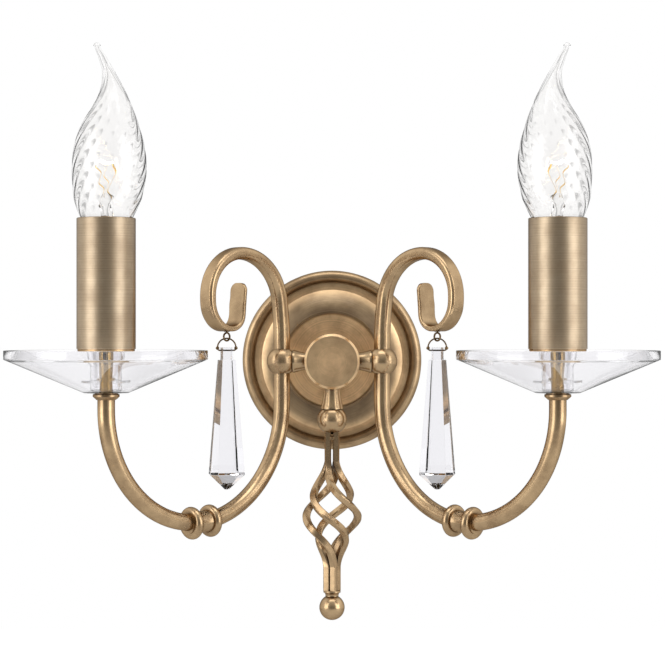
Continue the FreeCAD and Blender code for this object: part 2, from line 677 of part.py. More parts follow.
def eyelet_distance():
    """Return where along the scroll its lowest point lies."""
    return (TUBE_SEAT + SCROLL_STEM + SCROLL_DROP
            + sum(radius * math.radians(turn) for radius, turn in SCROLL_ARCS + SCROLL_CURL[:2]))


def make_scroll():
    """Return the bar that rises, curls over and flattens to a rounded tongue."""
    length = scroll_length()
    tip = SCROLL_TIP_RADIUS
    stations = [length * i / SCROLL_STATIONS for i in range(SCROLL_STATIONS)]
    stations = [s for s in stations if s < length - tip]
    stations += [length - tip * (1 - math.sin(math.radians(angle))) for angle in SCROLL_TIP_ANGLES]
    round_until, square_from = SCROLL_SQUARING
    sections = []
    for station in stations:
        thickness, width = scroll_section(station / length)
        beyond = max(0.0, station - (length - tip))
        width -= 2 * (tip - math.sqrt(tip * tip - beyond * beyond))
        blend = min(1.0, max(0.0, (station / length - round_until) / (square_from - round_until)))
        corner = thickness / 2 * (1 - blend) + thickness * SCROLL_EDGE * blend
        sections.append(rounded_section(thickness, width, corner, scroll_placement(station)))
    scroll = Part.makeLoft(sections, True, False)
    out, _, _ = scroll_point(eyelet_distance())
    thickness, _ = scroll_section(eyelet_distance() / length)
    pin_hole = Part.makeCylinder(EYELET_WIRE, 2 * thickness, Vector(out, 0, eyelet_seat() - thickness / 2))
    return moved(scroll.cut(pin_hole).cut(eyelet_head()), ARM_PLACE)


def eyelet_seat():
    """Return the height of the scroll's underside at its lowest point."""
    thickness, _ = scroll_section(eyelet_distance() / scroll_length())
    return scroll_point(eyelet_distance())[1] - thickness / 2


def eyelet_head():
    """Return the eyelet's riveted head, sunk a little in the scroll, in arm axes."""
    out, _, _ = scroll_point(eyelet_distance())
    thickness, _ = scroll_section(eyelet_distance() / scroll_length())
    foot = eyelet_seat() + thickness - EYELET_HEAD_SINK
    return Part.makeCylinder(EYELET_HEAD_RADIUS, EYELET_HEAD, Vector(out, 0, foot))


def hang_point():
    """Return the centre of the eyelet's lower wire, where the clip swings."""
    out, _, _ = scroll_point(eyelet_distance())
    height = eyelet_seat() - EYELET_NECK - 2 * EYELET_RING_RADIUS - EYELET_WIRE
    return ARM_PLACE.multVec(Vector(out, 0, height))


def make_eyelet():
    """Return the ring whose pin passes through the scroll and is riveted over."""
    out, _, _ = scroll_point(eyelet_distance())
    seat = eyelet_seat()
    thickness, _ = scroll_section(eyelet_distance() / scroll_length())
    ring_centre = Vector(out, 0, seat - EYELET_NECK - EYELET_RING_RADIUS - EYELET_WIRE)
    ring = Part.makeTorus(EYELET_RING_RADIUS, EYELET_WIRE, ring_centre, Vector(0, 1, 0))
    bottom = ring_centre.z + EYELET_RING_RADIUS
    pin = Part.makeCylinder(EYELET_WIRE, seat + thickness - bottom, Vector(out, 0, bottom))
    washer = Part.makeCylinder(EYELET_HEAD_RADIUS, EYELET_NECK, Vector(out, 0, seat - EYELET_NECK))
    eyelet = ring.multiFuse([pin, washer, eyelet_head()]).removeSplitter()
    return moved(eyelet, ARM_PLACE)


# --- Crystal drop ------------------------------------------------------------------------
def drop_place():
    """Return the frame of the hanging drop, at the clip's swing axis."""
    return Placement(hang_point(), Rotation(UP, CRYSTAL_TURN))


def clip_pin_drop():
    """Return how far the clip's pin lies below its swing axis."""
    return CLIP_RADIUS + CLIP_LEG - clip_rise()


def clip_rise():
    """Return how far the clip's arch stands above the swing axis."""
    return EYELET_WIRE + CLIP_WIRE + CLIP_PLAY


def make_clip():
    """Return the wire stirrup: an arch, two legs, the crystal's pin and its knobs."""
    top = clip_rise()
    spring_line = top - CLIP_RADIUS
    foot = spring_line - CLIP_LEG
    corner = 3 * CLIP_WIRE
    slant = corner * (1 - math.sqrt(0.5))
    arch = Part.Arc(Vector(-CLIP_RADIUS, 0, spring_line), Vector(0, 0, top),
                    Vector(CLIP_RADIUS, 0, spring_line))
    pin = Part.makeLine(Vector(corner - CLIP_RADIUS, 0, foot), Vector(CLIP_RADIUS - corner, 0, foot))
    edges = [arch.toShape(), pin]
    knobs = []
    for side in (-1, 1):
        lower = Vector(side * CLIP_RADIUS, 0, foot + corner)
        middle = Vector(side * (CLIP_RADIUS - slant), 0, foot + slant)
        inner = Vector(side * (CLIP_RADIUS - corner), 0, foot)
        edges.append(Part.makeLine(Vector(side * CLIP_RADIUS, 0, spring_line), lower))
        edges.append(Part.Arc(lower, middle, inner).toShape())
        knobs.append(Part.makeSphere(CLIP_KNOB_RADIUS, lower))
    pieces = [wire_piece(edge, CLIP_WIRE) for edge in edges] + knobs
    return moved(pieces[0].multiFuse(pieces[1:]).removeSplitter(), drop_place())


def wire_piece(edge, radius):
    """Return the round wire of a radius along a straight or circular edge."""
    start = edge.valueAt(edge.FirstParameter)
    if not isinstance(edge.Curve, Part.Circle):
        return Part.makeCylinder(radius, edge.Length, start, edge.valueAt(edge.LastParameter) - start)
    tangent = edge.tangentAt(edge.FirstParameter)
    centre = edge.Curve.Center
    disc = Part.Face(Part.Wire(Part.makeCircle(radius, start, tangent)))
    return disc.revolve(centre, (start - centre).cross(tangent), math.degrees(edge.Length / edge.Curve.Radius))


def crystal_ring(width, height):
    """Return the octagonal wire of the drop at a height: a square, corners cut."""
    half = width / 2
    cut = half - width * CRYSTAL_CHAMFER
    corners = [(half, -cut), (half, cut), (cut, half), (-cut, half),
               (-half, cut), (-half, -cut), (-cut, -half), (cut, -half)]
    points = [Vector(x, y, height) for x, y in corners]
    return Part.makePolygon(points + points[:1])


def make_crystal():
    """Return the cut glass drop: drilled head, tapered body and low point."""
    pin = -clip_pin_drop()
    head_top = pin + CRYSTAL_HEAD_TOP
    head_foot = head_top - CRYSTAL_HEAD
    foot = head_foot - CRYSTAL_BODY
    head = Part.makeBox(CRYSTAL_HEAD_WIDTH, CRYSTAL_HEAD_DEPTH, CRYSTAL_HEAD,
                        Vector(-CRYSTAL_HEAD_WIDTH / 2, -CRYSTAL_HEAD_DEPTH / 2, head_foot))
    head = head.makeChamfer(CRYSTAL_HEAD_BEVEL,
                            [edge for edge in head.Edges if edge.BoundBox.ZLength > CRYSTAL_HEAD / 2])
    body = Part.makeLoft([crystal_ring(CRYSTAL_SHOULDER_WIDTH, head_foot),
                          crystal_ring(CRYSTAL_FOOT_WIDTH, foot)], True, True)
    point = Part.makeLoft([crystal_ring(CRYSTAL_FOOT_WIDTH, foot),
                           crystal_ring(CRYSTAL_POINT_WIDTH, foot - CRYSTAL_POINT)], True, True)
    crystal = head.fuse(body).fuse(point).removeSplitter()
    hole_radius = CLIP_WIRE + CRYSTAL_HOLE_CLEARANCE
    hole = Part.makeCylinder(hole_radius, 2 * CLIP_RADIUS, Vector(-CLIP_RADIUS, 0, pin), Vector(1, 0, 0))
    return moved(crystal.cut(hole), drop_place())


# --- Candle stack ---------------------------------------------------------------------------
def at_candle(shape):
    """Return a copy of the shape moved onto the left candle's axis."""
    return moved(shape, Placement(Vector(CANDLE_CENTRE.x, CANDLE_CENTRE.y, 0), Rotation()))


def make_cup_collar():
    """Return the turned collar on the tube's top that carries the glass dish."""
    cone_top = CUP_COLLAR_BOTTOM + CUP_COLLAR_CONE
    flange_top = cone_top + CUP_COLLAR_FLANGE
    outline = [
        (SPINDLE_RADIUS, CUP_COLLAR_BOTTOM + TUBE_SEAT),
        (ARM_TUBE_RADIUS, CUP_COLLAR_BOTTOM + TUBE_SEAT),
        (ARM_TUBE_RADIUS, CUP_COLLAR_BOTTOM),
        (ARM_TUBE_RADIUS + EDGE_BREAK, CUP_COLLAR_BOTTOM),
        (CUP_COLLAR_RADIUS, cone_top),
        (CUP_COLLAR_RADIUS, flange_top - FINE_BREAK),
        (CUP_COLLAR_RADIUS - FINE_BREAK, flange_top),
        (CUP_COLLAR_BOSS_RADIUS, flange_top),
        (CUP_COLLAR_BOSS_RADIUS, CUP_COLLAR_TOP),
        (SPINDLE_RADIUS, CUP_COLLAR_TOP),
    ]
    return at_candle(turned(outline))


def make_bobeche():
    """Return the thick glass dish with a solid base and a raised inner well."""
    floor = GLASS_BASE_Z + DISH_FLOOR
    rim_foot = DISH_TOP_Z - DISH_RIM_HEIGHT
    hole = SPINDLE_RADIUS + SPINDLE_CLEARANCE
    well_in = DISH_WELL_RADIUS - DISH_WELL_WALL
    lip = EDGE_BREAK
    under = DISH_WALL - lip
    outline = [
        (hole, GLASS_BASE_Z),
        (DISH_BASE_RADIUS - lip, GLASS_BASE_Z),
        (DISH_BASE_RADIUS, GLASS_BASE_Z + lip),
        (DISH_RADIUS - lip, rim_foot - lip / 2),
        (DISH_RADIUS, rim_foot + lip),
        (DISH_RADIUS, DISH_TOP_Z - lip),
        (DISH_RADIUS - lip, DISH_TOP_Z),
        (DISH_RADIUS - DISH_WALL + lip, DISH_TOP_Z),
        (DISH_RADIUS - DISH_WALL, DISH_TOP_Z - lip),
        (DISH_RADIUS - DISH_WALL - 2 * lip, rim_foot + under),
        (DISH_FLOOR_RADIUS, floor),
        (DISH_WELL_RADIUS, floor),
        (DISH_WELL_RADIUS, floor + DISH_WELL_HEIGHT - lip),
        (DISH_WELL_RADIUS - lip, floor + DISH_WELL_HEIGHT),
        (well_in, floor + DISH_WELL_HEIGHT),
        (well_in, floor),
        (hole, floor),
    ]
    return at_candle(turned(outline))


def make_spindle():
    """Return the hollow threaded column from the arm's top to the candle seat."""
    floor = GLASS_BASE_Z + DISH_FLOOR
    bottom = CUP_COLLAR_TOP - SPINDLE_TAIL
    shoulder = floor + SPINDLE_SHOULDER
    outline = [
        (SPINDLE_BORE, bottom),
        (SPINDLE_RADIUS, bottom),
        (SPINDLE_RADIUS, floor),
        (SPINDLE_SHOULDER_RADIUS, floor),
        (SPINDLE_SHOULDER_RADIUS, shoulder),
        (SPINDLE_RADIUS, shoulder),
        (SPINDLE_TOP_RADIUS, SEAT_BOTTOM),
        (SPINDLE_SPIGOT, SEAT_BOTTOM),
        (SPINDLE_SPIGOT, CANDLE_Z + HOLDER_FLOOR - SPIGOT_SHORT),
        (SPINDLE_BORE, CANDLE_Z + HOLDER_FLOOR - SPIGOT_SHORT),
    ]
    spindle = turned(outline)
    side_hole = Part.makeCylinder(SPINDLE_HOLE_RADIUS, 2 * SPINDLE_TOP_RADIUS,
                                  Vector(0, -2 * SPINDLE_TOP_RADIUS, SEAT_BOTTOM - SPINDLE_HOLE_DROP),
                                  Vector(0, 1, 0))
    return at_candle(spindle.cut(side_hole))


def make_candle_seat():
    """Return the brass disc that closes the candle tube's foot."""
    spigot = CANDLE_RADIUS - CANDLE_WALL - CANDLE_CLEARANCE
    outline = [
        (SPINDLE_SPIGOT, SEAT_BOTTOM),
        (SEAT_RADIUS - FINE_BREAK, SEAT_BOTTOM),
        (SEAT_RADIUS, SEAT_BOTTOM + FINE_BREAK),
        (SEAT_RADIUS, CANDLE_Z),
        (spigot, CANDLE_Z),
        (spigot, CANDLE_Z + SEAT_SPIGOT),
        (HOLDER_RADIUS + CANDLE_CLEARANCE, CANDLE_Z + SEAT_SPIGOT),
        (HOLDER_RADIUS + CANDLE_CLEARANCE, CANDLE_Z),
        (SPINDLE_SPIGOT, CANDLE_Z),
    ]
    return at_candle(turned(outline))


def make_lampholder():
    """Return the holder: a foot, a sleeve and the threaded socket's smooth bore."""
    socket = SCREW_CAP_RADIUS + SCREW_CLEARANCE
    skirt_room = SCREW_SKIRT_RADIUS + SCREW_CLEARANCE
    socket_foot = HOLDER_TOP - HOLDER_SOCKET_DEPTH
    outline = [
        (SPINDLE_SPIGOT, CANDLE_Z),
        (HOLDER_RADIUS - EDGE_BREAK, CANDLE_Z),
        (HOLDER_RADIUS, CANDLE_Z + EDGE_BREAK),
        (HOLDER_RADIUS, HOLDER_TOP - HOLDER_RIM),
        (HOLDER_RADIUS - HOLDER_RIM, HOLDER_TOP),
        (skirt_room, HOLDER_TOP),
        (socket, HOLDER_TOP - HOLDER_RIM),
        (socket, socket_foot),
        (HOLDER_WIRE_HOLE, socket_foot),
        (HOLDER_WIRE_HOLE, socket_foot - HOLDER_DECK),
        (HOLDER_FOOT_RADIUS, socket_foot - HOLDER_DECK),
        (HOLDER_FOOT_RADIUS, CANDLE_Z + HOLDER_FLOOR),
        (SPINDLE_SPIGOT, CANDLE_Z + HOLDER_FLOOR),
    ]
    return at_candle(turned(outline))


def make_candle_tube():
    """Return the brass tube that stands on the seat round the lampholder."""
    inner = CANDLE_RADIUS - CANDLE_WALL
    top = CANDLE_Z + CANDLE_HEIGHT
    outline = [
        (inner, CANDLE_Z),
        (CANDLE_RADIUS, CANDLE_Z),
        (CANDLE_RADIUS, top - FINE_BREAK),
        (CANDLE_RADIUS - FINE_BREAK, top),
        (inner, top),
    ]
    return at_candle(turned(outline))


# --- Lamp -------------------------------------------------------------------------------------
def make_lamp_cap():
    """Return the screw cap: contact, insulator cone, thread rings and skirt."""
    skirt_foot = HOLDER_TOP
    foot = skirt_foot - SCREW_CAP_LENGTH
    contact_top = foot - INSULATOR_HEIGHT
    contact_foot = contact_top - CONTACT_HEIGHT
    outline = [(0, contact_foot), (CONTACT_RADIUS - EDGE_BREAK, contact_foot),
               (CONTACT_RADIUS, contact_foot + EDGE_BREAK), (CONTACT_RADIUS, contact_top),
               (SCREW_CAP_RADIUS - INSULATOR_SHOULDER, foot)]
    thread_foot = foot + SCREW_LEAD
    root = SCREW_CAP_RADIUS - SCREW_DEPTH
    outline.append((root, thread_foot))
    for ring in range(SCREW_THREADS):
        low = thread_foot + ring * SCREW_PITCH
        outline.append(((SCREW_CAP_RADIUS, low + SCREW_PITCH / 2), (root, low + SCREW_PITCH)))
    outline += [
        (root, skirt_foot - HOLDER_RIM),
        (SCREW_SKIRT_RADIUS, skirt_foot + FINE_BREAK),
        (SCREW_SKIRT_RADIUS, FLAME_BASE),
        (0, FLAME_BASE),
    ]
    return at_candle(turned(outline))


def flame_solid(inset):
    """Return the flame-shaped solid, drawn in by the inset."""
    sections = []
    for height, radius, lean in FLAME_SECTIONS:
        if radius - inset < LEAST_BORE:
            continue
        lift = inset if not sections else 0.0
        centre = Vector(lean, 0, FLAME_BASE + height + lift)
        sections.append(Part.Wire(Part.makeCircle(radius - inset, centre)))
    return Part.makeLoft(sections, True, False)


def make_lamp_glass():
    """Return the hollow flame glass with its bent, closed tip."""
    height, _, lean = FLAME_SECTIONS[-1]
    tip = Part.makeSphere(FLAME_TIP_RADIUS, Vector(lean, 0, FLAME_BASE + height))
    shell = flame_solid(0).cut(flame_solid(LAMP_WALL)).fuse(tip)
    neck_hole = Part.makeCylinder(STEM_FLARE_RADIUS, 2 * LAMP_WALL, Vector(0, 0, FLAME_BASE - LAMP_WALL))
    return at_candle(shell.cut(neck_hole).removeSplitter())


def make_lamp_stem():
    """Return the flared glass stem that carries the filament."""
    outline = [
        (0, FLAME_BASE),
        (STEM_FLARE_RADIUS, FLAME_BASE),
        ((STEM_RADIUS + STEM_PINCH, FLAME_BASE + STEM_HEIGHT / 4), (STEM_RADIUS, FLAME_BASE + STEM_HEIGHT / 2)),
        (STEM_RADIUS, FLAME_BASE + STEM_HEIGHT - STEM_PINCH),
        (STEM_RADIUS - STEM_PINCH, FLAME_BASE + STEM_HEIGHT),
        (0, FLAME_BASE + STEM_HEIGHT),
    ]
    return at_candle(turned(outline))


def make_lamp_filament():
    """Return the two support wires and the coil between them."""
    foot = FLAME_BASE + STEM_HEIGHT
    top = FLAME_BASE + FILAMENT_HEIGHT
    half = FILAMENT_WIDTH / 2
    coil = Part.makeCylinder(FILAMENT_COIL, FILAMENT_WIDTH, Vector(-half, 0, top), Vector(1, 0, 0))
    pieces = [coil]
    for side in (-1, 1):
        start = Vector(side * STEM_WIRES, 0, foot)
        end = Vector(side * half, 0, top)
        pieces.append(Part.makeCylinder(FILAMENT_WIRE, start.distanceToPoint(end), start, end - start))
        pieces.append(Part.makeSphere(FILAMENT_COIL, end))
    filament = pieces[0].multiFuse(pieces[1:]).removeSplitter()
    below = Part.makeCylinder(STEM_RADIUS, STEM_RADIUS, Vector(0, 0, foot - STEM_RADIUS))
    return at_candle(filament.cut(below))


# --- Basket ---------------------------------------------------------------------------------------
def basket_frame(height):
    """Return (offset, twist) of the bars at a height: a swelling, turning cage."""
    share = (BASKET_TOP_Z - height) / (BASKET_TOP_Z - BASKET_BOTTOM_Z)
    share = min(1.0, max(0.0, share))
    least = BASKET_HEAD_OFFSET + (BASKET_FOOT_OFFSET - BASKET_HEAD_OFFSET) * share
    swell = math.sin(math.pi * share) ** 2
    ease = BASKET_EASE * math.sin(2 * math.pi * share) / (2 * math.pi)
    return least + (BASKET_BULGE - least) * swell, BASKET_TWIST * (share - ease)


def bar_centre(height, phase):
    """Return the centre of the bar of a phase, in degrees, at a height."""
    offset, twist = basket_frame(height)
    angle = math.radians(phase + twist)
    return Vector(offset * math.cos(angle), offset * math.sin(angle) - NECK_DEPTH, height)


def bar_corners(height, phase, level):
    """Return the eight corners of a bar's section, square to it or level."""
    _, twist = basket_frame(height)
    turn = Rotation(UP, phase + twist - 45)
    if not level:
        step = Vector(0, 0, 0.01)
        along = bar_centre(height + step.z, phase) - bar_centre(height - step.z, phase)
        turn = Rotation(UP, along).multiply(turn)
    half = BASKET_BAR / 2
    cut = half - BASKET_BAR_EDGE
    corners = [(half, -cut), (half, cut), (cut, half), (-cut, half),
               (-half, cut), (-half, -cut), (-cut, -half), (cut, -half)]
    centre = bar_centre(height, phase)
    return [centre + turn.multVec(Vector(x, y, 0)) for x, y in corners]


def twisted_middle(sections):
    """Return the solid between the first and last of several octagons."""
    last = len(sections) - 1
    shares = [i / last for i in range(last + 1)]
    curves = []
    for corner in range(len(sections[0])):
        curve = Part.BSplineCurve()
        curve.interpolate(Points=[section[corner] for section in sections], Parameters=shares)
        curves.append(curve.toShape())
    faces = [Part.makeRuledSurface(curve, after, 1) for curve, after in zip(curves, curves[1:] + curves[:1])]
    faces += [octagon_face(sections[0]), octagon_face(sections[-1])]
    shell = Part.makeCompound(faces)
    shell.sewShape(1e-4)
    return Part.Solid(shell.Shells[0])


def octagon_face(corners):
    """Return the flat face inside a ring of corners."""
    return Part.Face(Part.makePolygon(corners + corners[:1]))


def straight_head(index):
    """Return the straight top of a bar, from its seat in the ball to the cage."""
    corners = bar_corners(BASKET_TOP_Z, bar_phase(index), True)
    top = DROP_BALL_Z - math.sqrt(DROP_BALL_RADIUS ** 2 - BASKET_HEAD_OFFSET ** 2) + BASKET_HEAD_SEAT
    return octagon_face(corners).extrude(Vector(0, 0, top - BASKET_TOP_Z))


def bar_phase(index):
    """Return the angle about the basket's axis at which a bar starts."""
    return 45 + index * 360 / BASKET_BARS


def make_basket_bar(index, pin):
    """Return one twisted bar of the basket, from the ball to the collar."""
    span = BASKET_BOTTOM_Z - BASKET_TOP_Z
    last = BASKET_STATIONS - 1
    sections = [bar_corners(BASKET_TOP_Z + span * i / last, bar_phase(index), i in (0, last))
                for i in range(BASKET_STATIONS)]
    foot = octagon_face(sections[-1]).extrude(Vector(0, 0, BASKET_FOOT_Z - BASKET_BOTTOM_Z))
    head = straight_head(index).cut(pin)
    return twisted_middle(sections).multiFuse([head, foot])


def pin_shape():
    """Return the cross pin through the head of the basket, with domed ends."""
    half = BASKET_HEAD_OFFSET * math.sqrt(0.5) + BASKET_BAR / 2 + PIN_HEAD
    outline = [
        (0, -half),
        (PIN_TIP_RADIUS, -half),
        (PIN_RADIUS, -half + PIN_HEAD),
        (PIN_RADIUS, half - PIN_HEAD),
        (PIN_TIP_RADIUS, half),
        (0, half),
    ]
    return moved(facing_front(turned(outline)), Placement(Vector(0, -NECK_DEPTH, PIN_Z), Rotation()))


def make_basket_collar():
    """Return the short collar under the basket's bars."""
    foot = BASKET_FOOT_Z - COLLAR_HEIGHT
    hollow, depth = COLLAR_HOLLOW
    outline = [
        (0, BASKET_FOOT_Z),
        (COLLAR_RADIUS, BASKET_FOOT_Z),
        (COLLAR_RADIUS, BASKET_FOOT_Z - COLLAR_BAND),
        ((COLLAR_RADIUS - hollow, BASKET_FOOT_Z - depth), (FINIAL_SEAT_RADIUS + COLLAR_FOOT, foot)),
        (0, foot),
    ]
    return moved(turned(outline), Placement(Vector(0, -NECK_DEPTH, 0), Rotation()))


def make_finial_ball():
    """Return the ball that ends the drop, with a flat where the collar sits."""
    top = BASKET_FOOT_Z - COLLAR_HEIGHT
    depth = math.sqrt(FINIAL_RADIUS ** 2 - FINIAL_SEAT_RADIUS ** 2)
    centre = Vector(0, -NECK_DEPTH, top - depth)
    ball = Part.makeSphere(FINIAL_RADIUS, centre)
    above = Part.makeCylinder(FINIAL_RADIUS, FINIAL_RADIUS, Vector(0, -NECK_DEPTH, top))
    return ball.cut(above)


# --- The whole sconce --------------------------------------------------------------------------------
def wall_side_parts():
    """Return the single pieces of the wall side and the hub, by name."""
    return {
        "wall_bracket": make_wall_bracket(),
        "hub_nipple": make_hub_nipple(),
        "hub_locknut": make_hub_locknut(),
        "earth_screw": make_earth_screw(),
        "terminal_block": make_terminal_block(),
        "backplate": make_backplate(),
        "hub_body": make_hub_body(),
        "hub_cap": make_hub_cap(),
        "bottom_neck": make_bottom_neck(),
    }


def basket_parts():
    """Return the pieces that hang below the hub, by name."""
    pin = pin_shape()
    parts = {"bottom_ball": make_bottom_ball()}
    for index in range(BASKET_BARS):
        parts[f"basket_bar_{index + 1}"] = make_basket_bar(index, pin)
    parts["basket_pin"] = pin
    parts["basket_collar"] = make_basket_collar()
    parts["finial_ball"] = make_finial_ball()
    return parts


def left_parts():
    """Return the pieces of the left arm and its candle, by name without a side."""
    return {
        "side_neck": make_side_neck(),
        "side_ball": make_side_ball(),
        "scroll": make_scroll(),
        "inner_arm": make_inner_arm(),
        "knuckle": make_knuckle(),
        "outer_arm": make_outer_arm(),
        "eyelet": make_eyelet(),
        "clip": make_clip(),
        "crystal": make_crystal(),
        "cup_collar": make_cup_collar(),
        "bobeche": make_bobeche(),
        "spindle": make_spindle(),
        "candle_seat": make_candle_seat(),
        "lampholder": make_lampholder(),
        "candle_tube": make_candle_tube(),
        "lamp_glass": make_lamp_glass(),
        "lamp_stem": make_lamp_stem(),
        "lamp_filament": make_lamp_filament(),
        "lamp_cap": make_lamp_cap(),
    }


def main():
    """Build every piece, export it as STEP and print what the joints need."""
    parts = wall_side_parts()
    parts.update(basket_parts())
    for name, shape in left_parts().items():
        parts[f"{name}_left"] = shape
        parts[f"{name}_right"] = shape.mirror(Vector(0, 0, 0), Vector(1, 0, 0))
    os.makedirs("parts", exist_ok=True)
    for name, shape in parts.items():
        shape.exportStep(f"parts/{name}.step")
        valid = "valid" if shape.isValid() else "NOT VALID"
        print(f"{name:18s} solids {len(shape.Solids)} volume {shape.Volume:10.2f} {valid}")
    swing = hang_point()
    print("clip swing axis through", [round(value, 4) for value in swing])
    print("crystal pin height", round(swing.z - clip_pin_drop(), 4))
    print("candle axis", [round(value, 4) for value in CANDLE_CENTRE])


main()
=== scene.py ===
"""Double-arm wall sconce in aged brass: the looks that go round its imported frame.

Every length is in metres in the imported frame, where +X is the viewer's right, +Y points
into the wall and +Z is up. Sizes of the pieces are written as real sizes in millimetres
times MM, and their places come from the frame's own boxes.
"""
from __future__ import annotations

import json
import logging
import math
from collections.abc import Sequence
from dataclasses import dataclass, field
from enum import Enum
from functools import cache

import bpy
from mathutils import Matrix, Vector

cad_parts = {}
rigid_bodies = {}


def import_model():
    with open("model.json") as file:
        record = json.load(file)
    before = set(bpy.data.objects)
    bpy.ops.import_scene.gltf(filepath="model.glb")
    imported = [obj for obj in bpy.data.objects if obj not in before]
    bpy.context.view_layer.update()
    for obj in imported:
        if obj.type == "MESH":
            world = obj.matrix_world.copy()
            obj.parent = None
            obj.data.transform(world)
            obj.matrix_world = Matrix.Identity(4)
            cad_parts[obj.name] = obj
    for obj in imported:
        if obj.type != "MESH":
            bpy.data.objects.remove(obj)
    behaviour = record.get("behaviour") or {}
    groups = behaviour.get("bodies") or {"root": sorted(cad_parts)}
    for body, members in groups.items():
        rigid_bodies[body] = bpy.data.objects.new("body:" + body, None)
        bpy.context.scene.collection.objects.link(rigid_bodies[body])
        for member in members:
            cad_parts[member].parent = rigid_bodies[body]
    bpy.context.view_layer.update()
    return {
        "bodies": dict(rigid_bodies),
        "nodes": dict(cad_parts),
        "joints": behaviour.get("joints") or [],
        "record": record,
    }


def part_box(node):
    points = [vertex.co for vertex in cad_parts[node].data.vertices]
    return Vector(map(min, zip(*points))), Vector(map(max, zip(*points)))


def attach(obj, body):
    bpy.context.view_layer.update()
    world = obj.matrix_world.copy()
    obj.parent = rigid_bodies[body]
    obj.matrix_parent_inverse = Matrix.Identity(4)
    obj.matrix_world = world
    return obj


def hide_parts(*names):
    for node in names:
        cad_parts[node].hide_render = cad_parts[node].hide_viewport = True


LOG = logging.getLogger("sconce")
MM = 0.001
SHARP_ON_SOLIDS = 32.0       # degrees from which an edge stays sharp
SHARP_ON_TURNED = 40.0
LONGEST_ROUNDING = 0.49      # share of the shorter side that a rounded corner may take
NEARLY_PARALLEL = 0.98       # cosine from which a wire needs another starting normal
FLOAT, COLOR = "NodeSocketFloat", "NodeSocketColor"

Color = tuple[float, float, float, float]
Row = tuple[float, float, float]
Pair = tuple[float, float]
Ring = list[Vector]
Shape = tuple[list[Vector], list[tuple[int, ...]]]
Material = bpy.types.Material
Node = bpy.types.Node
Piece = bpy.types.Object
Socket = bpy.types.NodeSocket
Tree = bpy.types.NodeTree


class Side(Enum):
    """The two halves of the sconce, which mirror each other in X = 0."""

    LEFT = 1
    RIGHT = -1

    @property
    def word(self) -> str:
        """Return the ending of this side's node and body names."""
        return self.name.lower()

    def place(self, point: Vector) -> Vector:
        """Return a point of the left half, moved to this side."""
        return Vector((point.x * self.value, point.y, point.z))


class Brushing(Enum):
    """How the fine lines of a brass surface run."""

    NONE = "none"
    ROUND_Z = "round an upright axis"
    ROUND_Y = "round the axis that points at the wall"


# --- Numbers and curves ---


def srgb(*channels: int) -> Color:
    """Return the linear colour of red, green and blue from 0 to 255, with an alpha of 1."""
    red, green, blue = (share / 12.92 if share <= 0.04045 else ((share + 0.055) / 1.055) ** 2.4
                        for share in (channel / 255 for channel in channels))
    return red, green, blue, 1.0


def unit(value: float) -> float:
    """Return a number, held between 0 and 1."""
    return min(1.0, max(0.0, value))


def levels(top: float, count: int) -> list[float]:
    """Return evenly spaced numbers from 0 to the top."""
    return [top * step / (count - 1) for step in range(count)]


def angles(count: int) -> list[float]:
    """Return evenly spaced angles of one full turn."""
    return [2 * math.pi * step / count for step in range(count)]


def smooth_row(rows: Sequence[Sequence[float]], where: float) -> list[float]:
    """Return the values of a Catmull-Rom curve through rows, at a value of the first column.

    Args:
        rows: Rows of numbers, rising in their first column.
        where: The value of the first column that is asked for.

    Returns:
        The other columns at that value.
    """
    last = len(rows) - 1
    index = 0
    while index < last - 1 and where > rows[index + 1][0]:
        index += 1
    before, start, end, after = (rows[min(max(index + step, 0), last)] for step in (-1, 0, 1, 2))
    t = unit((where - start[0]) / (end[0] - start[0]))
    result = []
    for column in range(1, len(start)):
        a, b, c, d = before[column], start[column], end[column], after[column]
        result.append(0.5 * (2 * b + (c - a) * t + (2 * a - 5 * b + 4 * c - d) * t * t
                             + (3 * b - a - 3 * c + d) * t ** 3))
    return result


def fillet(corners: Sequence[Row], steps: int = 5) -> list[Pair]:
    """Return an outline whose corners are rounded.

    Args:
        corners: (radius, height, rounding) of each corner; a rounding of 0 keeps it sharp.
        steps: How many points each rounding takes.

    Returns:
        The (radius, height) points of the rounded outline.
    """
    points: list[Pair] = []
    for index, (r, z, rounding) in enumerate(corners):
        here = Vector((r, z))
        if rounding <= 0 or index in (0, len(corners) - 1):
            points.append((r, z))
            continue
        back = Vector(corners[index - 1][:2]) - here
        ahead = Vector(corners[index + 1][:2]) - here
        half = back.angle(ahead) / 2
        reach = min(rounding / math.tan(half), back.length * LONGEST_ROUNDING,
                    ahead.length * LONGEST_ROUNDING)
        start = here + back.normalized() * reach
        end = here + ahead.normalized() * reach
        for t in levels(1.0, steps):
            point = start * (1 - t) ** 2 + here * 2 * t * (1 - t) + end * t * t
            points.append((point.x, point.y))
    return points


# --- Meshes ---


def scene_object(name: str, data: bpy.types.ID) -> Piece:
    """Return a new object in the scene.

    Args:
        name: Its name.
        data: Its mesh, lamp or camera.

    Returns:
        The new object.
    """
    piece = bpy.data.objects.new(name, data)
    bpy.context.scene.collection.objects.link(piece)
    return piece


def mesh_object(name: str, shape: Shape, side: Side, sharp: float = SHARP_ON_TURNED) -> Piece:
    """Return a smooth-shaded mesh object of a left-half shape on a side.

    Args:
        name: The piece's name without the side's word.
        shape: The points and faces, as on the left half.
        side: The side that it is made for.
        sharp: The degrees from which an edge stays sharp.

    Returns:
        The new object.
    """
    points, faces = shape
    if side is Side.RIGHT:
        faces = [tuple(reversed(face)) for face in faces]
    mesh = bpy.data.meshes.new(name)
    mesh.from_pydata([side.place(point) for point in points], [], faces)
    mesh.update()
    mesh.shade_smooth()
    mesh.set_sharp_from_angle(angle=math.radians(sharp))
    return scene_object(f"{name}_{side.word}", mesh)


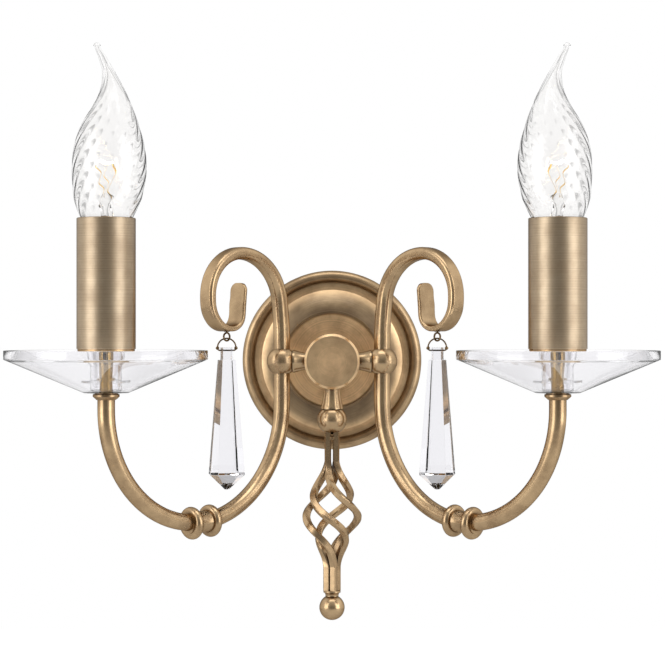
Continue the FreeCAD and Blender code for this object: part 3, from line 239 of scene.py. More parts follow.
def loft_faces(rings: int, count: int, first: int = 0, flip: bool = False) -> list[tuple[int, ...]]:
    """Return the quads between rings of equally many points.

    Args:
        rings: How many rings there are.
        count: How many points each ring has.
        first: The index of the first ring's first point.
        flip: True to face the other way.

    Returns:
        The faces.
    """
    faces = []
    for ring in range(rings - 1):
        for point in range(count):
            low = first + ring * count
            after = (point + 1) % count
            face = (low + point, low + after, low + count + after, low + count + point)
            faces.append(tuple(reversed(face)) if flip else face)
    return faces


def loft(rings: Sequence[Ring]) -> Shape:
    """Return the surface through rings, closed at both ends.

    Args:
        rings: Rings of equally many points, each turning to the left as the rings go on.

    Returns:
        The points and faces.
    """
    count = len(rings[0])
    faces = loft_faces(len(rings), count)
    faces.append(tuple(reversed(range(count))))
    faces.append(tuple(range((len(rings) - 1) * count, len(rings) * count)))
    return [point for ring in rings for point in ring], faces


def lathe(outline: Sequence[Pair], centre: Vector, segments: int) -> Shape:
    """Return the surface that a closed outline turns about an upright axis.

    Args:
        outline: (radius, height) points, going up on the outside.
        centre: A point on the axis, from which the heights are measured.
        segments: How many steps the turn takes.

    Returns:
        The points and faces.
    """
    points = [centre + Vector((r * math.cos(a), r * math.sin(a), z))
              for r, z in outline for a in angles(segments)]
    return points, [tuple(index % len(points) for index in face)
                    for face in loft_faces(len(outline) + 1, segments)]


def tube(path: Sequence[Vector], radius: float, sides: int) -> Shape:
    """Return a round wire along a path of points.

    Args:
        path: The points of the wire's centre line.
        radius: The wire's radius.
        sides: How many points go round the wire.

    Returns:
        The points and faces.
    """
    rings: list[Ring] = []
    normal = Vector((0, 0, 1))
    last = len(path) - 1
    for index, point in enumerate(path):
        along = (path[min(index + 1, last)] - path[max(index - 1, 0)]).normalized()
        if abs(normal.dot(along)) > NEARLY_PARALLEL:
            normal = Vector((1, 0, 0))
        normal = (normal - along * normal.dot(along)).normalized()
        across = along.cross(normal)
        rings.append([point + (normal * math.cos(a) + across * math.sin(a)) * radius
                      for a in angles(sides)])
    return loft(rings)


# --- Shader helpers ---


def plug(tree: Tree, socket: Socket, value: object) -> None:
    """Link an input to an output, or set it to a number or colour.

    Args:
        tree: The node tree.
        socket: The input.
        value: An output socket, a number or a colour.
    """
    if isinstance(value, Socket):
        tree.links.new(value, socket)
    else:
        socket.default_value = value


def fill(tree: Tree, node: Node, **values: object) -> Node:
    """Set a node's attributes, and set or link its inputs, by name.

    Args:
        tree: The node tree.
        node: The node.
        values: Attribute names, or input names with spaces as underscores, and their values.

    Returns:
        The node.
    """
    for name, value in values.items():
        if hasattr(node, name):
            setattr(node, name, value)
        else:
            plug(tree, node.inputs[name.replace("_", " ")], value)
    return node


def node_of(tree: Tree, kind: str, **values: object) -> Node:
    """Return a new shader node of a kind with the values that fill takes."""
    return fill(tree, tree.nodes.new("ShaderNode" + kind), **values)


def math_node(tree: Tree, operation: str, *values: object, clamp: bool = False) -> Socket:
    """Return the output of a math node on sockets or numbers.

    Args:
        tree: The node tree.
        operation: The operation's name.
        values: A socket or a number for each input.
        clamp: Whether the result is held between 0 and 1.

    Returns:
        The node's output.
    """
    node = node_of(tree, "Math", operation=operation, use_clamp=clamp)
    for socket, value in zip(node.inputs, values):
        plug(tree, socket, value)
    return node.outputs[0]


def mix_node(tree: Tree, factor: object, first: object, second: object, data_type: str = "RGBA",
             blend_type: str = "MIX") -> Socket:
    """Return the mix of two colours or numbers.

    Args:
        tree: The node tree.
        factor: The share of the second one.
        first: The first colour or number.
        second: The second colour or number.
        data_type: RGBA for colours or FLOAT for numbers.
        blend_type: How colours are mixed.

    Returns:
        The node's output.
    """
    node = node_of(tree, "Mix", data_type=data_type, blend_type=blend_type)
    start, result = (6, 2) if data_type == "RGBA" else (2, 0)
    for index, value in ((0, factor), (start, first), (start + 1, second)):
        plug(tree, node.inputs[index], value)
    return node.outputs[result]


def map_range(tree: Tree, value: Socket, source: Pair,
              target: tuple[object, object] = (0.0, 1.0), smooth: bool = False) -> Socket:
    """Return a value, moved from one range to another.

    Args:
        tree: The node tree.
        value: The value.
        source: The range that it is read in.
        target: The range that it goes to.
        smooth: Whether it starts and ends softly.

    Returns:
        The node's output.
    """
    node = node_of(tree, "MapRange", Value=value, From_Min=source[0], From_Max=source[1],
                   To_Min=target[0], To_Max=target[1],
                   interpolation_type="SMOOTHSTEP" if smooth else "LINEAR")
    return node.outputs["Result"]


def axes(tree: Tree, space: str) -> tuple[Socket, Socket, Socket]:
    """Return X, Y and Z of the texture coordinate of a space."""
    x, y, z = node_of(tree, "SeparateXYZ", Vector=node_of(tree, "TexCoord").outputs[space]).outputs
    return x, y, z


def noise(tree: Tree, **values: object) -> Socket:
    """Return a noise that is fixed to the object, with the values that fill takes."""
    place = node_of(tree, "TexCoord").outputs["Object"]
    return node_of(tree, "TexNoise", Vector=place, **values).outputs["Fac"]


def squared(tree: Tree, value: Socket) -> Socket:
    """Return the square of a value."""
    return math_node(tree, "MULTIPLY", value, value)


def new_group(name: str, inputs: dict[str, str],
              outputs: dict[str, str]) -> tuple[Tree, Node, Node]:
    """Return an empty shader node group with named inputs and outputs.

    Args:
        name: The group's name.
        inputs: The socket type of each input.
        outputs: The socket type of each output.

    Returns:
        The group, its input node and its output node.
    """
    group = bpy.data.node_groups.new(name, "ShaderNodeTree")
    for direction, sockets in (("INPUT", inputs), ("OUTPUT", outputs)):
        for label, kind in sockets.items():
            group.interface.new_socket(label, in_out=direction, socket_type=kind)
    return group, group.nodes.new("NodeGroupInput"), group.nodes.new("NodeGroupOutput")


def new_material(name: str) -> tuple[Material, Tree, Node]:
    """Return a new node material.

    Args:
        name: Its name.

    Returns:
        The material, its tree and its Principled shader.
    """
    material = bpy.data.materials.new(name)
    material.use_nodes = True
    tree = material.node_tree
    return material, tree, tree.nodes["Principled BSDF"]


def bump(tree: Tree, height: Socket, strength: float, depth: float) -> Socket:
    """Return the normal of a height between 0 and 1, where 1 stands for a depth in metres."""
    return node_of(tree, "Bump", Strength=strength, Distance=depth, Height=height).outputs["Normal"]


# --- Shared effects ---


@dataclass(frozen=True)
class PatinaEffect:
    """Brown patina in soft clouds and fine specks over worn gold, and painted shade in recesses, as
    a node group.
    """

    cloud_scale: float = 75.0
    cloud_span: Pair = (0.38, 0.66)
    speck_scale: float = 900.0
    speck_share: float = 0.35
    recess_reach: float = 9.0 * MM
    recess_samples: int = 8
    # dark brown of the painted shade in recesses and between parts
    soot: Color = (0.16, 0.12, 0.09, 1.0)

    def build(self) -> Tree:
        """Return the group, with colour, roughness and height outputs; the colour carries the
        painted shade.
        """
        group, source, sink = new_group(
            "patina",
            {"Worn": COLOR, "Patina": COLOR, "Amount": FLOAT, "Smoothest": FLOAT,
             "Roughest": FLOAT, "Recess": FLOAT},
            {"Color": COLOR, "Roughness": FLOAT, "Height": FLOAT})
        given = source.outputs
        clouds = noise(group, Scale=self.cloud_scale, Detail=5.0, Roughness=0.6)
        specks = noise(group, Scale=self.speck_scale, Detail=3.0, Roughness=0.7)
        speckled = math_node(group, "MULTIPLY_ADD", specks, self.speck_share,
                             map_range(group, clouds, self.cloud_span))
        mask = math_node(group, "MULTIPLY", speckled, given["Amount"], clamp=True)
        aged = mix_node(group, mask, given["Worn"], given["Patina"])
        # Painted shade: the colour is darkened where ambient occlusion finds the surface closed in,
        # in recesses and between parts; on brass it also stands for dark patina in hollows.
        open_sky = node_of(group, "AmbientOcclusion", samples=self.recess_samples,
                           Distance=self.recess_reach)
        closed = math_node(group, "SUBTRACT", 1.0, open_sky.outputs["AO"])
        painted_shade_mask = math_node(group, "MULTIPLY", closed, given["Recess"], clamp=True)
        fill(group, sink, Height=specks,
             Color=mix_node(group, painted_shade_mask, aged, self.soot, blend_type="MULTIPLY"),
             Roughness=map_range(group, mask, (0.0, 1.0), (given["Smoothest"], given["Roughest"])))
        return group


@dataclass(frozen=True)
class BrushEffect:
    """Fine lines at each value of a coordinate, broken up a little, as a node group."""

    break_scale: float = 40.0
    break_reach: float = 1.5

    def build(self) -> Tree:
        """Return the group, with one output between 0 and 1."""
        group, source, sink = new_group(
            "brush lines", {"Coordinate": FLOAT, "Density": FLOAT}, {"Lines": FLOAT})
        breaks = noise(group, Scale=self.break_scale, Detail=2.0)
        given = source.outputs
        along = math_node(group, "MULTIPLY", given["Coordinate"], given["Density"])
        wander = math_node(group, "MULTIPLY", breaks, self.break_reach)
        lines = node_of(group, "TexNoise", noise_dimensions="1D", Scale=1.0, Detail=3.0,
                        Roughness=0.75, W=math_node(group, "ADD", along, wander))
        fill(group, sink, Lines=lines.outputs["Fac"])
        return group


@dataclass(frozen=True)
class WobbleEffect:
    """The slow unevenness of pressed and blown glass, as a node group."""

    fine_scale: float = 260.0
    fine_share: float = 0.25

    def build(self) -> Tree:
        """Return the group, with one height output."""
        group, source, sink = new_group("glass wobble", {"Scale": FLOAT}, {"Height": FLOAT})
        slow, fine = (noise(group, Scale=scale, Detail=1.0)
                      for scale in (source.outputs["Scale"], self.fine_scale))
        faint = math_node(group, "MULTIPLY", fine, self.fine_share)
        fill(group, sink, Height=math_node(group, "ADD", slow, faint))
        return group


class Effect(Enum):
    """The node groups that the finishes share."""

    PATINA = PatinaEffect()
    BRUSH = BrushEffect()
    WOBBLE = WobbleEffect()

    @cache
    def group(self) -> Tree:
        """Return the effect's node group, which is built once."""
        return self.value.build()


def use_group(tree: Tree, effect: Effect, **values: object) -> Node:
    """Return a group node of an effect in a material's tree with its own values."""
    return node_of(tree, "Group", node_tree=effect.group(), **values)


# --- Finishes ---


@dataclass(frozen=True)
class AgedBrass:
    """Satin brass under a thin brown patina, brushed or plain, with painted shade in recesses."""

    name: str = "aged brass"
    worn: Color = srgb(211, 180, 138)
    patina: Color = srgb(142, 114, 84)
    amount: float = 0.55
    smoothest: float = 0.2
    roughest: float = 0.34
    brushing: Brushing = Brushing.NONE
    density: float = 1900.0             # brushed lines a metre
    line_depth: float = 0.04 * MM
    line_contrast: float = 0.16
    line_span: Pair = (0.3, 0.7)
    grain_depth: float = 0.002 * MM
    bump_strength: float = 0.5
    # share of the painted shade in recesses and between parts
    recess: float = 1.0
    lacquer: float = 0.35
    lacquer_roughness: float = 0.22
    grazing: Color = (0.5, 0.4, 0.3, 1.0)
    rings: tuple[Row, ...] = ()         # radius in millimetres, painted light and shade, and roughness
    brightest_ring: float = 2.0
    patina_on_rings: float = 0.2

    def build(self) -> Material:
        """Return the material."""
        material, tree, shader = new_material(self.name)
        # The patina group's colour carries the painted shade in recesses.
        patina = use_group(tree, Effect.PATINA, Worn=self.worn, Patina=self.patina,
                           Amount=self.amount, Smoothest=self.smoothest, Roughest=self.roughest,
                           Recess=self.recess).outputs
        color, rough = patina["Color"], patina["Roughness"]
        height, depth = patina["Height"], self.grain_depth
        if self.brushing is not Brushing.NONE:
            lines = use_group(tree, Effect.BRUSH, Density=self.density,
                              Coordinate=self.across(tree))
            height, depth = lines.outputs["Lines"], self.line_depth
            shade = map_range(tree, height, self.line_span,
                              (1 - self.line_contrast, 1 + self.line_contrast))
            color = mix_node(tree, 1.0, color, shade, blend_type="MULTIPLY")
        # Painted light and shade: rings of lighter and darker colour round the axis that points at
        # the wall.
        if self.rings:
            painted_ring_light, ring_rough = self.ring_values(tree)
            color = mix_node(tree, 1.0, color, painted_ring_light, blend_type="MULTIPLY")
            uneven = math_node(tree, "MULTIPLY", rough, self.patina_on_rings)
            rough = math_node(tree, "ADD", ring_rough, uneven)
        fill(tree, shader, Base_Color=color, Metallic=1.0, Roughness=rough,
             Specular_Tint=self.grazing, Coat_Weight=self.lacquer,
             Coat_Roughness=self.lacquer_roughness,
             Normal=bump(tree, height, self.bump_strength, depth))
        return material

    def ring_values(self, tree: Tree) -> tuple[Socket, Socket]:
        """Return the painted light and shade and the roughness at each distance from the axis that
        points at the wall.

        Args:
            tree: The material's nodes.

        Returns:
            The tone and the roughness.
        """
        reach = self.rings[-1][0]
        share = math_node(tree, "DIVIDE", self.across(tree), reach * MM)
        values = []
        for most, column in ((self.brightest_ring, 1), (1.0, 2)):
            ramp = node_of(tree, "ValToRGB", Fac=share)
            stops = ramp.color_ramp.elements
            for row in self.rings[1:-1]:
                stops.new(row[0] / reach)
            for stop, row in zip(stops, self.rings):
                level = row[column] / most
                stop.position = row[0] / reach
                stop.color = (level, level, level, 1.0)
            values.append(math_node(tree, "MULTIPLY", ramp.outputs["Color"], most))
        return values[0], values[1]

    def across(self, tree: Tree) -> Socket:
        """Return the coordinate across the brushed lines.

        Args:
            tree: The material's nodes.

        Returns:
            The height, or the distance from the axis that points at the wall.
        """
        x, _, z = axes(tree, "Object")
        if self.brushing is Brushing.ROUND_Z:
            return z
        return math_node(tree, "SQRT", math_node(tree, "ADD", squared(tree, x), squared(tree, z)))


@dataclass(frozen=True)
class PlainFinish:
    """A metal or moulding with slightly uneven colour, fine handling marks and painted shade in
    recesses.
    """

    name: str
    light: Color
    dark: Color
    metallic: float = 1.0
    amount: float = 0.5
    smoothest: float = 0.2
    roughest: float = 0.35
    # share of the painted shade in recesses and between parts
    recess: float = 0.6
    bump_strength: float = 0.3
    grain_depth: float = 0.01 * MM

    def build(self) -> Material:
        """Return the material, made from the shared patina group, whose colour carries painted
        shade in recesses.
        """
        material, tree, shader = new_material(self.name)
        grain = use_group(tree, Effect.PATINA, Worn=self.light, Patina=self.dark,
                          Amount=self.amount, Smoothest=self.smoothest, Roughest=self.roughest,
                          Recess=self.recess).outputs
        fill(tree, shader, Base_Color=grain["Color"], Metallic=self.metallic,
             Roughness=grain["Roughness"],
             Normal=bump(tree, grain["Height"], self.bump_strength, self.grain_depth))
        return material


@dataclass(frozen=True)
class MouldedPlastic(PlainFinish):
    """A moulded plastic with a fine grain."""

    metallic: float = 0.0
    amount: float = 0.4
    smoothest: float = 0.35
    roughest: float = 0.5
    bump_strength: float = 0.4
    grain_depth: float = 0.03 * MM


@dataclass(frozen=True)
class Glass:
    """Clear glass with a faint tint and a slow unevenness."""

    name: str
    tint: Color
    ior: float = 1.5
    wobble_scale: float = 60.0
    wobble_depth: float = 0.05 * MM
    bump_strength: float = 0.6

    def build(self) -> Material:
        """Return the material."""
        material, tree, shader = new_material(self.name)
        wobble = use_group(tree, Effect.WOBBLE, Scale=self.wobble_scale).outputs["Height"]
        fill(tree, shader, Base_Color=self.tint, Metallic=0.0, Roughness=0.0, IOR=self.ior,
             Transmission_Weight=1.0,
             Normal=bump(tree, wobble, self.bump_strength, self.wobble_depth))
        return material


@dataclass(frozen=True)
class GlowingWire:
    """A white-hot wire, a little cooler here and there."""

    name: str = "glowing filament"
    hot: Color = srgb(255, 236, 196)
    cooler: Color = srgb(255, 206, 140)
    strength: float = 16.0

    def build(self) -> Material:
        """Return the material, whose glow varies along the wire and is dimmed by painted shade
        where the coil closes in.
        """
        material, tree, shader = new_material(self.name)
        # Painted shade: the glow colour is darkened where ambient occlusion finds the coil closed
        # in.
        heat_and_painted_shade = use_group(tree, Effect.PATINA, Worn=self.hot, Patina=self.cooler, Amount=0.6,
                         Recess=0.6).outputs["Color"]
        fill(tree, shader, Base_Color=heat_and_painted_shade, Emission_Color=heat_and_painted_shade, Emission_Strength=self.strength)
        return material


class Finish(Enum):
    """Every finish of the sconce."""

    BRASS = AgedBrass()
    PLATE = AgedBrass(
        name="aged brass, spun", brushing=Brushing.ROUND_Y, density=1500.0, line_contrast=0.14,
        line_depth=0.012 * MM, recess=0.4,
        # Painted light and shade: a light inner disc, a dark dome, a bright line on the ledge and a
        # darker outer band, for how the turned steps catch light; the roughness column is real.
        rings=((0.0, 1.7, 0.42), (25.2, 1.6, 0.42), (26.4, 0.6, 0.36), (28.5, 0.42, 0.36),
               (35.5, 0.5, 0.34), (37.8, 0.95, 0.36), (40.4, 1.6, 0.36), (42.4, 1.2, 0.36),
               (44.2, 0.85, 0.32), (51.0, 0.85, 0.28)))
    CANDLE = AgedBrass(
        name="aged brass, brushed round", worn=srgb(183, 163, 135), patina=srgb(150, 128, 101),
        smoothest=0.35, roughest=0.46, lacquer=0.8, brushing=Brushing.ROUND_Z)
    CAP = AgedBrass(
        name="aged brass, matt", worn=srgb(247, 212, 163), patina=srgb(192, 157, 119), amount=0.7,
        brushing=Brushing.ROUND_Y, density=900.0, line_contrast=0.06, line_depth=0.004 * MM,
        # Painted light: a lighter centre and a bright rim; the roughness column is real.
        rings=((0.0, 1.12, 0.45), (5.0, 1.05, 0.45), (10.0, 0.9, 0.45), (13.4, 0.85, 0.42),
               (14.0, 1.15, 0.2), (15.0, 1.1, 0.2)))
    WIRE = AgedBrass(name="aged brass wire", worn=srgb(150, 122, 84), patina=srgb(84, 64, 42),
                     amount=0.8)
    BRIGHT = PlainFinish("bright brass", srgb(224, 190, 118), srgb(190, 152, 88))
    STEEL = PlainFinish("zinc plated steel", srgb(198, 200, 204), srgb(160, 164, 172))
    TERMINAL = MouldedPlastic("cream moulding", srgb(226, 222, 208), srgb(206, 200, 182))
    HOLDER = MouldedPlastic("dark moulding", srgb(46, 42, 38), srgb(28, 26, 24))
    DISH = Glass("pressed clear glass", (0.955, 0.95, 0.965, 1.0), wobble_scale=45.0)
    CRYSTAL = Glass("cut crystal", (0.9, 0.895, 0.925, 1.0), ior=1.58, wobble_depth=0.01 * MM)
    LAMP = Glass("lamp glass", (0.97, 0.965, 0.96, 1.0), ior=1.46, wobble_scale=90.0)
    GLOW = GlowingWire()

    @cache
    def material(self) -> Material:
        """Return the finish's material, which is built once."""
        return self.value.build()


# --- Sub-assemblies ---


@dataclass
class SubAssembly:
    """Pieces of the sconce that are built and dressed together."""

    frame: dict

    def build(self) -> None:
        """Dress and build the pieces, each sub-assembly in its own way."""
        raise NotImplementedError

    def dress(self, finish: Finish, *nodes: str) -> None:
        """Give carried-over nodes of the frame a finish.

        Args:
            finish: The finish.
            nodes: The nodes' names.
        """
        for node in nodes:
            mesh = self.frame["nodes"][node].data
            mesh.materials.clear()
            mesh.materials.append(finish.material())
            mesh.shade_smooth()
            mesh.set_sharp_from_angle(angle=math.radians(SHARP_ON_SOLIDS))
            LOG.info("%s keeps its solid and gets %s", node, finish.value.name)

    def seat(self, piece: Piece, finish: Finish, body: str, slot: str, *nodes: str) -> None:
        """Finish a new piece, let it ride on a body and stand for nodes.

        Args:
            piece: The new piece.
            finish: Its finish.
            body: The body that it rides on.
            slot: The record's material slot; not used.
            nodes: The nodes that it replaces.
        """
        piece.data.materials.append(finish.material())
        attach(piece, body)
        if nodes:
            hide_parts(*nodes)
        LOG.info("%s rides on %s in %s", piece.name, body, finish.value.name)

    @staticmethod
    def ends(node: str) -> tuple[Vector, Vector]:
        """Return the middle of the foot and of the top of a box.

        Args:
            node: The node whose box it is.

        Returns:
            The two points.
        """
        low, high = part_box(node)
        x, y = (low.x + high.x) / 2, (low.y + high.y) / 2
        return Vector((x, y, low.z)), Vector((x, y, high.z))


@dataclass
class WallSide(SubAssembly):
    """The round plate and what it hides against the wall."""

    def build(self) -> None:
        """Dress the plate and the parts behind it."""
        self.dress(Finish.PLATE, "backplate")
        self.dress(Finish.STEEL, "wall_bracket", "hub_nipple", "hub_locknut")
        self.dress(Finish.BRIGHT, "earth_screw")
        self.dress(Finish.TERMINAL, "terminal_block")


@dataclass
class Hub(SubAssembly):
    """The turned hub with its cap, bottom neck and bottom ball."""

    def build(self) -> None:
        """Dress the hub's parts."""
        self.dress(Finish.BRASS, "hub_body", "bottom_neck", "bottom_ball")
        self.dress(Finish.CAP, "hub_cap")


@dataclass
class Arm(SubAssembly):
    """One arm: neck, ball, scroll, bent tube, knuckle and collar."""

    side: Side

    def build(self) -> None:
        """Dress the arm's parts."""
        names = ("side_neck", "side_ball", "scroll", "inner_arm", "knuckle", "outer_arm",
                 "cup_collar")
        self.dress(Finish.BRASS, *(f"{name}_{self.side.word}" for name in names))


@dataclass
class Basket(SubAssembly):
    """The twisted basket under the hub, with its pin, collar and ball."""

    bars: int = 4

    def build(self) -> None:
        """Dress the basket's parts."""
        names = [f"basket_bar_{index + 1}" for index in range(self.bars)]
        self.dress(Finish.BRASS, *names, "basket_pin", "basket_collar", "finial_ball")


@dataclass
class CandleStack(SubAssembly):
    """One glass dish with the column, seat, tube and holder of its candle."""

    side: Side
    rim_radius: float = 50.8 * MM
    rim_height: float = 4.5 * MM
    rim_width: float = 3.6 * MM
    base_radius: float = 11.2 * MM
    wall: float = 1.7 * MM
    ring_height: float = 7.1 * MM
    ring_radius: float = 12.3 * MM
    ring_width: float = 1.1 * MM
    lip_radius: float = 11.0 * MM
    lip_height: float = 5.4 * MM
    well_radius: float = 7.9 * MM
    well_width: float = 1.6 * MM
    well_height: float = 7.8 * MM
    bore: float = 3.4 * MM
    edge: float = 0.35 * MM
    segments: int = 160

    def build(self) -> None:
        """Dress the metal parts and the holder, and build the glass dish."""
        word = self.side.word
        self.dress(Finish.CANDLE, f"candle_tube_{word}")
        self.dress(Finish.BRIGHT, f"spindle_{word}")
        self.dress(Finish.BRASS, f"candle_seat_{word}")
        self.dress(Finish.HOLDER, f"lampholder_{word}")
        self.seat(self.dish(), Finish.DISH, "sconce", "clear_glass", f"bobeche_{word}")

    def dish(self) -> Piece:
        """Return the dish as one turned piece with polished, rounded edges."""
        foot, head = self.ends("bobeche_left")
        top = head.z - foot.z
        base, rim, well = self.base_radius, self.rim_radius, self.well_radius
        rim_foot = top - self.rim_height
        inner = rim - self.rim_width
        ring_foot = self.ring_height - self.ring_width
        well_top = self.ring_height + self.well_height
        lip_top = well_top + self.lip_height
        well_in = well - self.well_width
        rise = self.wall * math.hypot(rim - base, rim_foot) / (rim - base)
        inner_foot = rise + rim_foot * (inner - base) / (rim - base)
        edge, tight, soft = self.edge, self.edge / 2, self.edge * 4
        ring, ring_top, lip = self.ring_radius, self.ring_height, self.lip_radius
        corners = [
            (self.bore, 0.0, 0.0), (base, 0.0, edge), (rim, rim_foot, edge), (rim, top, edge),
            (inner, top, edge), (inner, inner_foot, edge), (base, rise, edge), (well, rise, edge),
            (well, ring_foot, tight), (ring, ring_foot, edge), (ring, ring_top, edge),
            (well, ring_top, tight), (well, well_top, soft), (lip, lip_top - self.well_width, edge),
            (lip, lip_top, edge), (lip - self.well_width, lip_top, edge),
            (well_in, well_top + edge, soft), (well_in, rise, tight), (self.bore, rise, 0.0)]
        return mesh_object("glass_dish", lathe(fillet(corners), foot, self.segments), self.side)


@dataclass
class Lamp(SubAssembly):
    """One candle lamp: twisted-flute glass with a bent tip, stem, wires and cap.

    The lengths in this class are in millimetres, and heights are measured from the cap's top.
    """

    side: Side
    # height, radius and lean towards the hub of the glass
    sections: tuple[Row, ...] = (
        (0.0, 8.0, 0.0), (5.0, 10.8, 0.1), (10.0, 12.9, 0.2), (14.0, 14.9, 0.4), (20.0, 17.0, 0.8),
        (30.0, 18.4, 1.4), (38.0, 18.6, 1.6), (48.0, 17.2, 1.6), (58.0, 13.9, 2.1),
        (66.0, 9.9, 3.1), (74.0, 6.2, 3.2), (83.0, 3.3, 1.3), (91.0, 2.0, -2.0), (96.4, 1.3, -4.6))
    wall: float = 0.8
    flutes: int = 16
    flute_depth: float = 0.38
    flute_twist: float = 2.1           # degrees a millimetre
    flute_foot: float = 6.0            # where the flutes start
    flute_rise: float = 14.0           # how soon they are full above that
    flute_end: float = 22.0            # how far below the tip they end
    flute_fall: float = 20.0           # over which height they fade before that
    rings: int = 110
    segments: int = 192
    cavity_top: float = 88.0
    cavity_taper: float = 22.0
    capillary_top: float = 95.0
    capillary: float = 0.32
    tip_knob: float = 1.9
    knob_step: int = 15                # degrees between the knob's rings
    sharp: float = 70.0
    # height, half width and half depth of the stem
    stem_sections: tuple[Row, ...] = (
        (0.0, 6.4, 6.4), (1.5, 5.2, 5.2), (5.0, 3.8, 3.8), (11.0, 3.0, 3.0), (15.0, 3.0, 2.4),
        (18.0, 3.2, 1.5), (21.0, 3.2, 1.3), (22.0, 2.4, 1.0))
    stem_rings: int = 45
    stem_segments: int = 48
    wire_foot: float = 20.0
    coil_height: float = 37.0
    coil_half: float = 4.5
    coil_arch: float = 1.2
    coil_turns: int = 26
    coil_steps: int = 12               # a turn
    coil_radius: float = 0.45
    coil_wire: float = 0.14
    lead_spread: float = 1.6
    lead_bend: float = 1.4
    lead_wire: float = 0.2
    support_reach: float = 0.6
    support_bow: float = 0.2
    support_wire: float = 0.12
    wire_points: int = 13
    lead_sides: int = 10
    fine_sides: int = 8
    base: Vector = field(init=False)

    def __post_init__(self) -> None:
        """Find the centre of the glass's foot on the left half."""
        _, self.base = self.ends("lamp_cap_left")

    def build(self) -> None:
        """Build the glass, stem and filament, and dress the cap."""
        word, body = self.side.word, f"lamp_{self.side.word}"
        self.dress(Finish.BRIGHT, f"lamp_cap_{word}")
        self.seat(self.glass(), Finish.LAMP, body, "lamp_glass", f"lamp_glass_{word}")
        self.seat(self.stem(), Finish.LAMP, body, "lamp_glass", f"lamp_stem_{word}")
        self.seat(self.coil(), Finish.GLOW, body, "filament_wire", f"lamp_filament_{word}")
        for wire in self.wires():
            self.seat(wire, Finish.BRIGHT, body, "filament_wire")

    def at(self, x: float, y: float, height: float) -> Vector:
        """Return the point at a distance in millimetres from the glass's foot."""
        return self.base + Vector((x, y, height)) * MM

    def oval(self, lean: float, width: float, depth: float, height: float, count: int) -> Ring:
        """Return a ring of points on an oval.

        Args:
            lean: How far its centre lies towards the hub.
            width: Half of its width.
            depth: Half of its depth.
            height: Its height.
            count: How many points it has.

        Returns:
            The ring's points.
        """
        return [self.at(lean + width * math.cos(a), depth * math.sin(a), height)
                for a in angles(count)]

    def outside(self) -> list[Ring]:
        """Return the fluted rings of the glass's outside."""
        top = self.sections[-1][0]
        rings = []
        for height in levels(top, self.rings):
            radius, lean = smooth_row(self.sections, height)
            fade = (unit((height - self.flute_foot) / self.flute_rise)
                    * unit((top - self.flute_end - height) / self.flute_fall))
            ring = []
            for angle in angles(self.segments):
                phase = self.flutes * (angle - math.radians(self.flute_twist * height))
                here = radius - self.flute_depth * fade * (1 - abs(math.sin(phase / 2)))
                ring.append(self.at(lean + here * math.cos(angle), here * math.sin(angle), height))
            rings.append(ring)
        return rings

    def inside(self) -> list[Ring]:
        """Return the plain rings of the glass's inside, which closes to a hair-thin bore."""
        rings = []
        for height in levels(self.capillary_top, self.rings // 2):
            radius, lean = smooth_row(self.sections, height)
            closing = unit((self.cavity_top - height) / self.cavity_taper)
            here = max(self.capillary, (radius - self.wall) * math.sqrt(1 - (1 - closing) ** 2))
            rings.append(self.oval(lean, here, here, height, self.segments))
        return rings

    def knob(self) -> list[Ring]:
        """Return the rings of the small round end of the tip."""
        top = self.sections[-1][0]
        _, lean = smooth_row(self.sections, top)
        start = math.sin(math.radians(self.knob_step))
        rings = []
        for degrees in range(self.knob_step, 90, self.knob_step):
            turn = math.radians(degrees)
            spread = self.tip_knob * math.cos(turn)
            height = top + self.tip_knob * (math.sin(turn) - start)
            rings.append(self.oval(lean, spread, spread, height, self.segments))
        return rings

    def glass(self) -> Piece:
        """Return the closed glass shell with its solid bent tip and small end knob."""
        count = self.segments
        outer, inner = self.outside() + self.knob(), self.inside()
        points = [point for ring in outer + inner for point in ring]
        first_inner = len(outer) * count
        faces = loft_faces(len(outer), count)
        faces.append(tuple(range(first_inner - count, first_inner)))
        faces += loft_faces(len(inner), count, first_inner, flip=True)
        faces.append(tuple(reversed(range(len(points) - count, len(points)))))
        for step in range(count):
            after = (step + 1) % count
            faces.append((step, first_inner + step, first_inner + after, after))
        return mesh_object("flame_glass", (points, faces), self.side, self.sharp)

    def stem(self) -> Piece:
        """Return the flared stem, pinched flat at the top where it holds the wires."""
        rings = []
        for height in levels(self.stem_sections[-1][0], self.stem_rings):
            width, depth = smooth_row(self.stem_sections, height)
            rings.append(self.oval(0.0, width, depth, height, self.stem_segments))
        return mesh_object("stem", loft(rings), self.side)

    def coil(self) -> Piece:
        """Return the glowing coil, a little arched between the lead wires."""
        half, radius = self.coil_half, self.coil_radius
        path = []
        for share in levels(1.0, self.coil_turns * self.coil_steps + 1):
            angle = 2 * math.pi * self.coil_turns * share
            height = self.coil_height + self.coil_arch * math.sin(math.pi * share)
            path.append(self.at(-half + 2 * half * share, radius * math.cos(angle),
                                height + radius * math.sin(angle)))
        coil = tube(path, self.coil_wire * MM, self.fine_sides)
        return mesh_object("filament_coil", coil, self.side)

    def wires(self) -> list[Piece]:
        """Return the two lead wires and the middle support."""
        foot, spread = self.wire_foot, self.lead_spread
        shares = levels(1.0, self.wire_points)
        pieces = []
        for index, way in enumerate((-1, 1)):
            path = [self.at(way * (spread + (self.coil_half - spread) * share ** self.lead_bend),
                            0, foot + (self.coil_height - foot) * share) for share in shares]
            lead = tube(path, self.lead_wire * MM, self.lead_sides)
            pieces.append(mesh_object(f"lead_wire_{index + 1}", lead, self.side))
        rise = self.coil_height + self.support_reach - foot
        path = [self.at(0, self.support_bow * math.sin(share * math.pi), foot + rise * share)
                for share in shares]
        support = tube(path, self.support_wire * MM, self.fine_sides)
        return [*pieces, mesh_object("support_wire", support, self.side)]


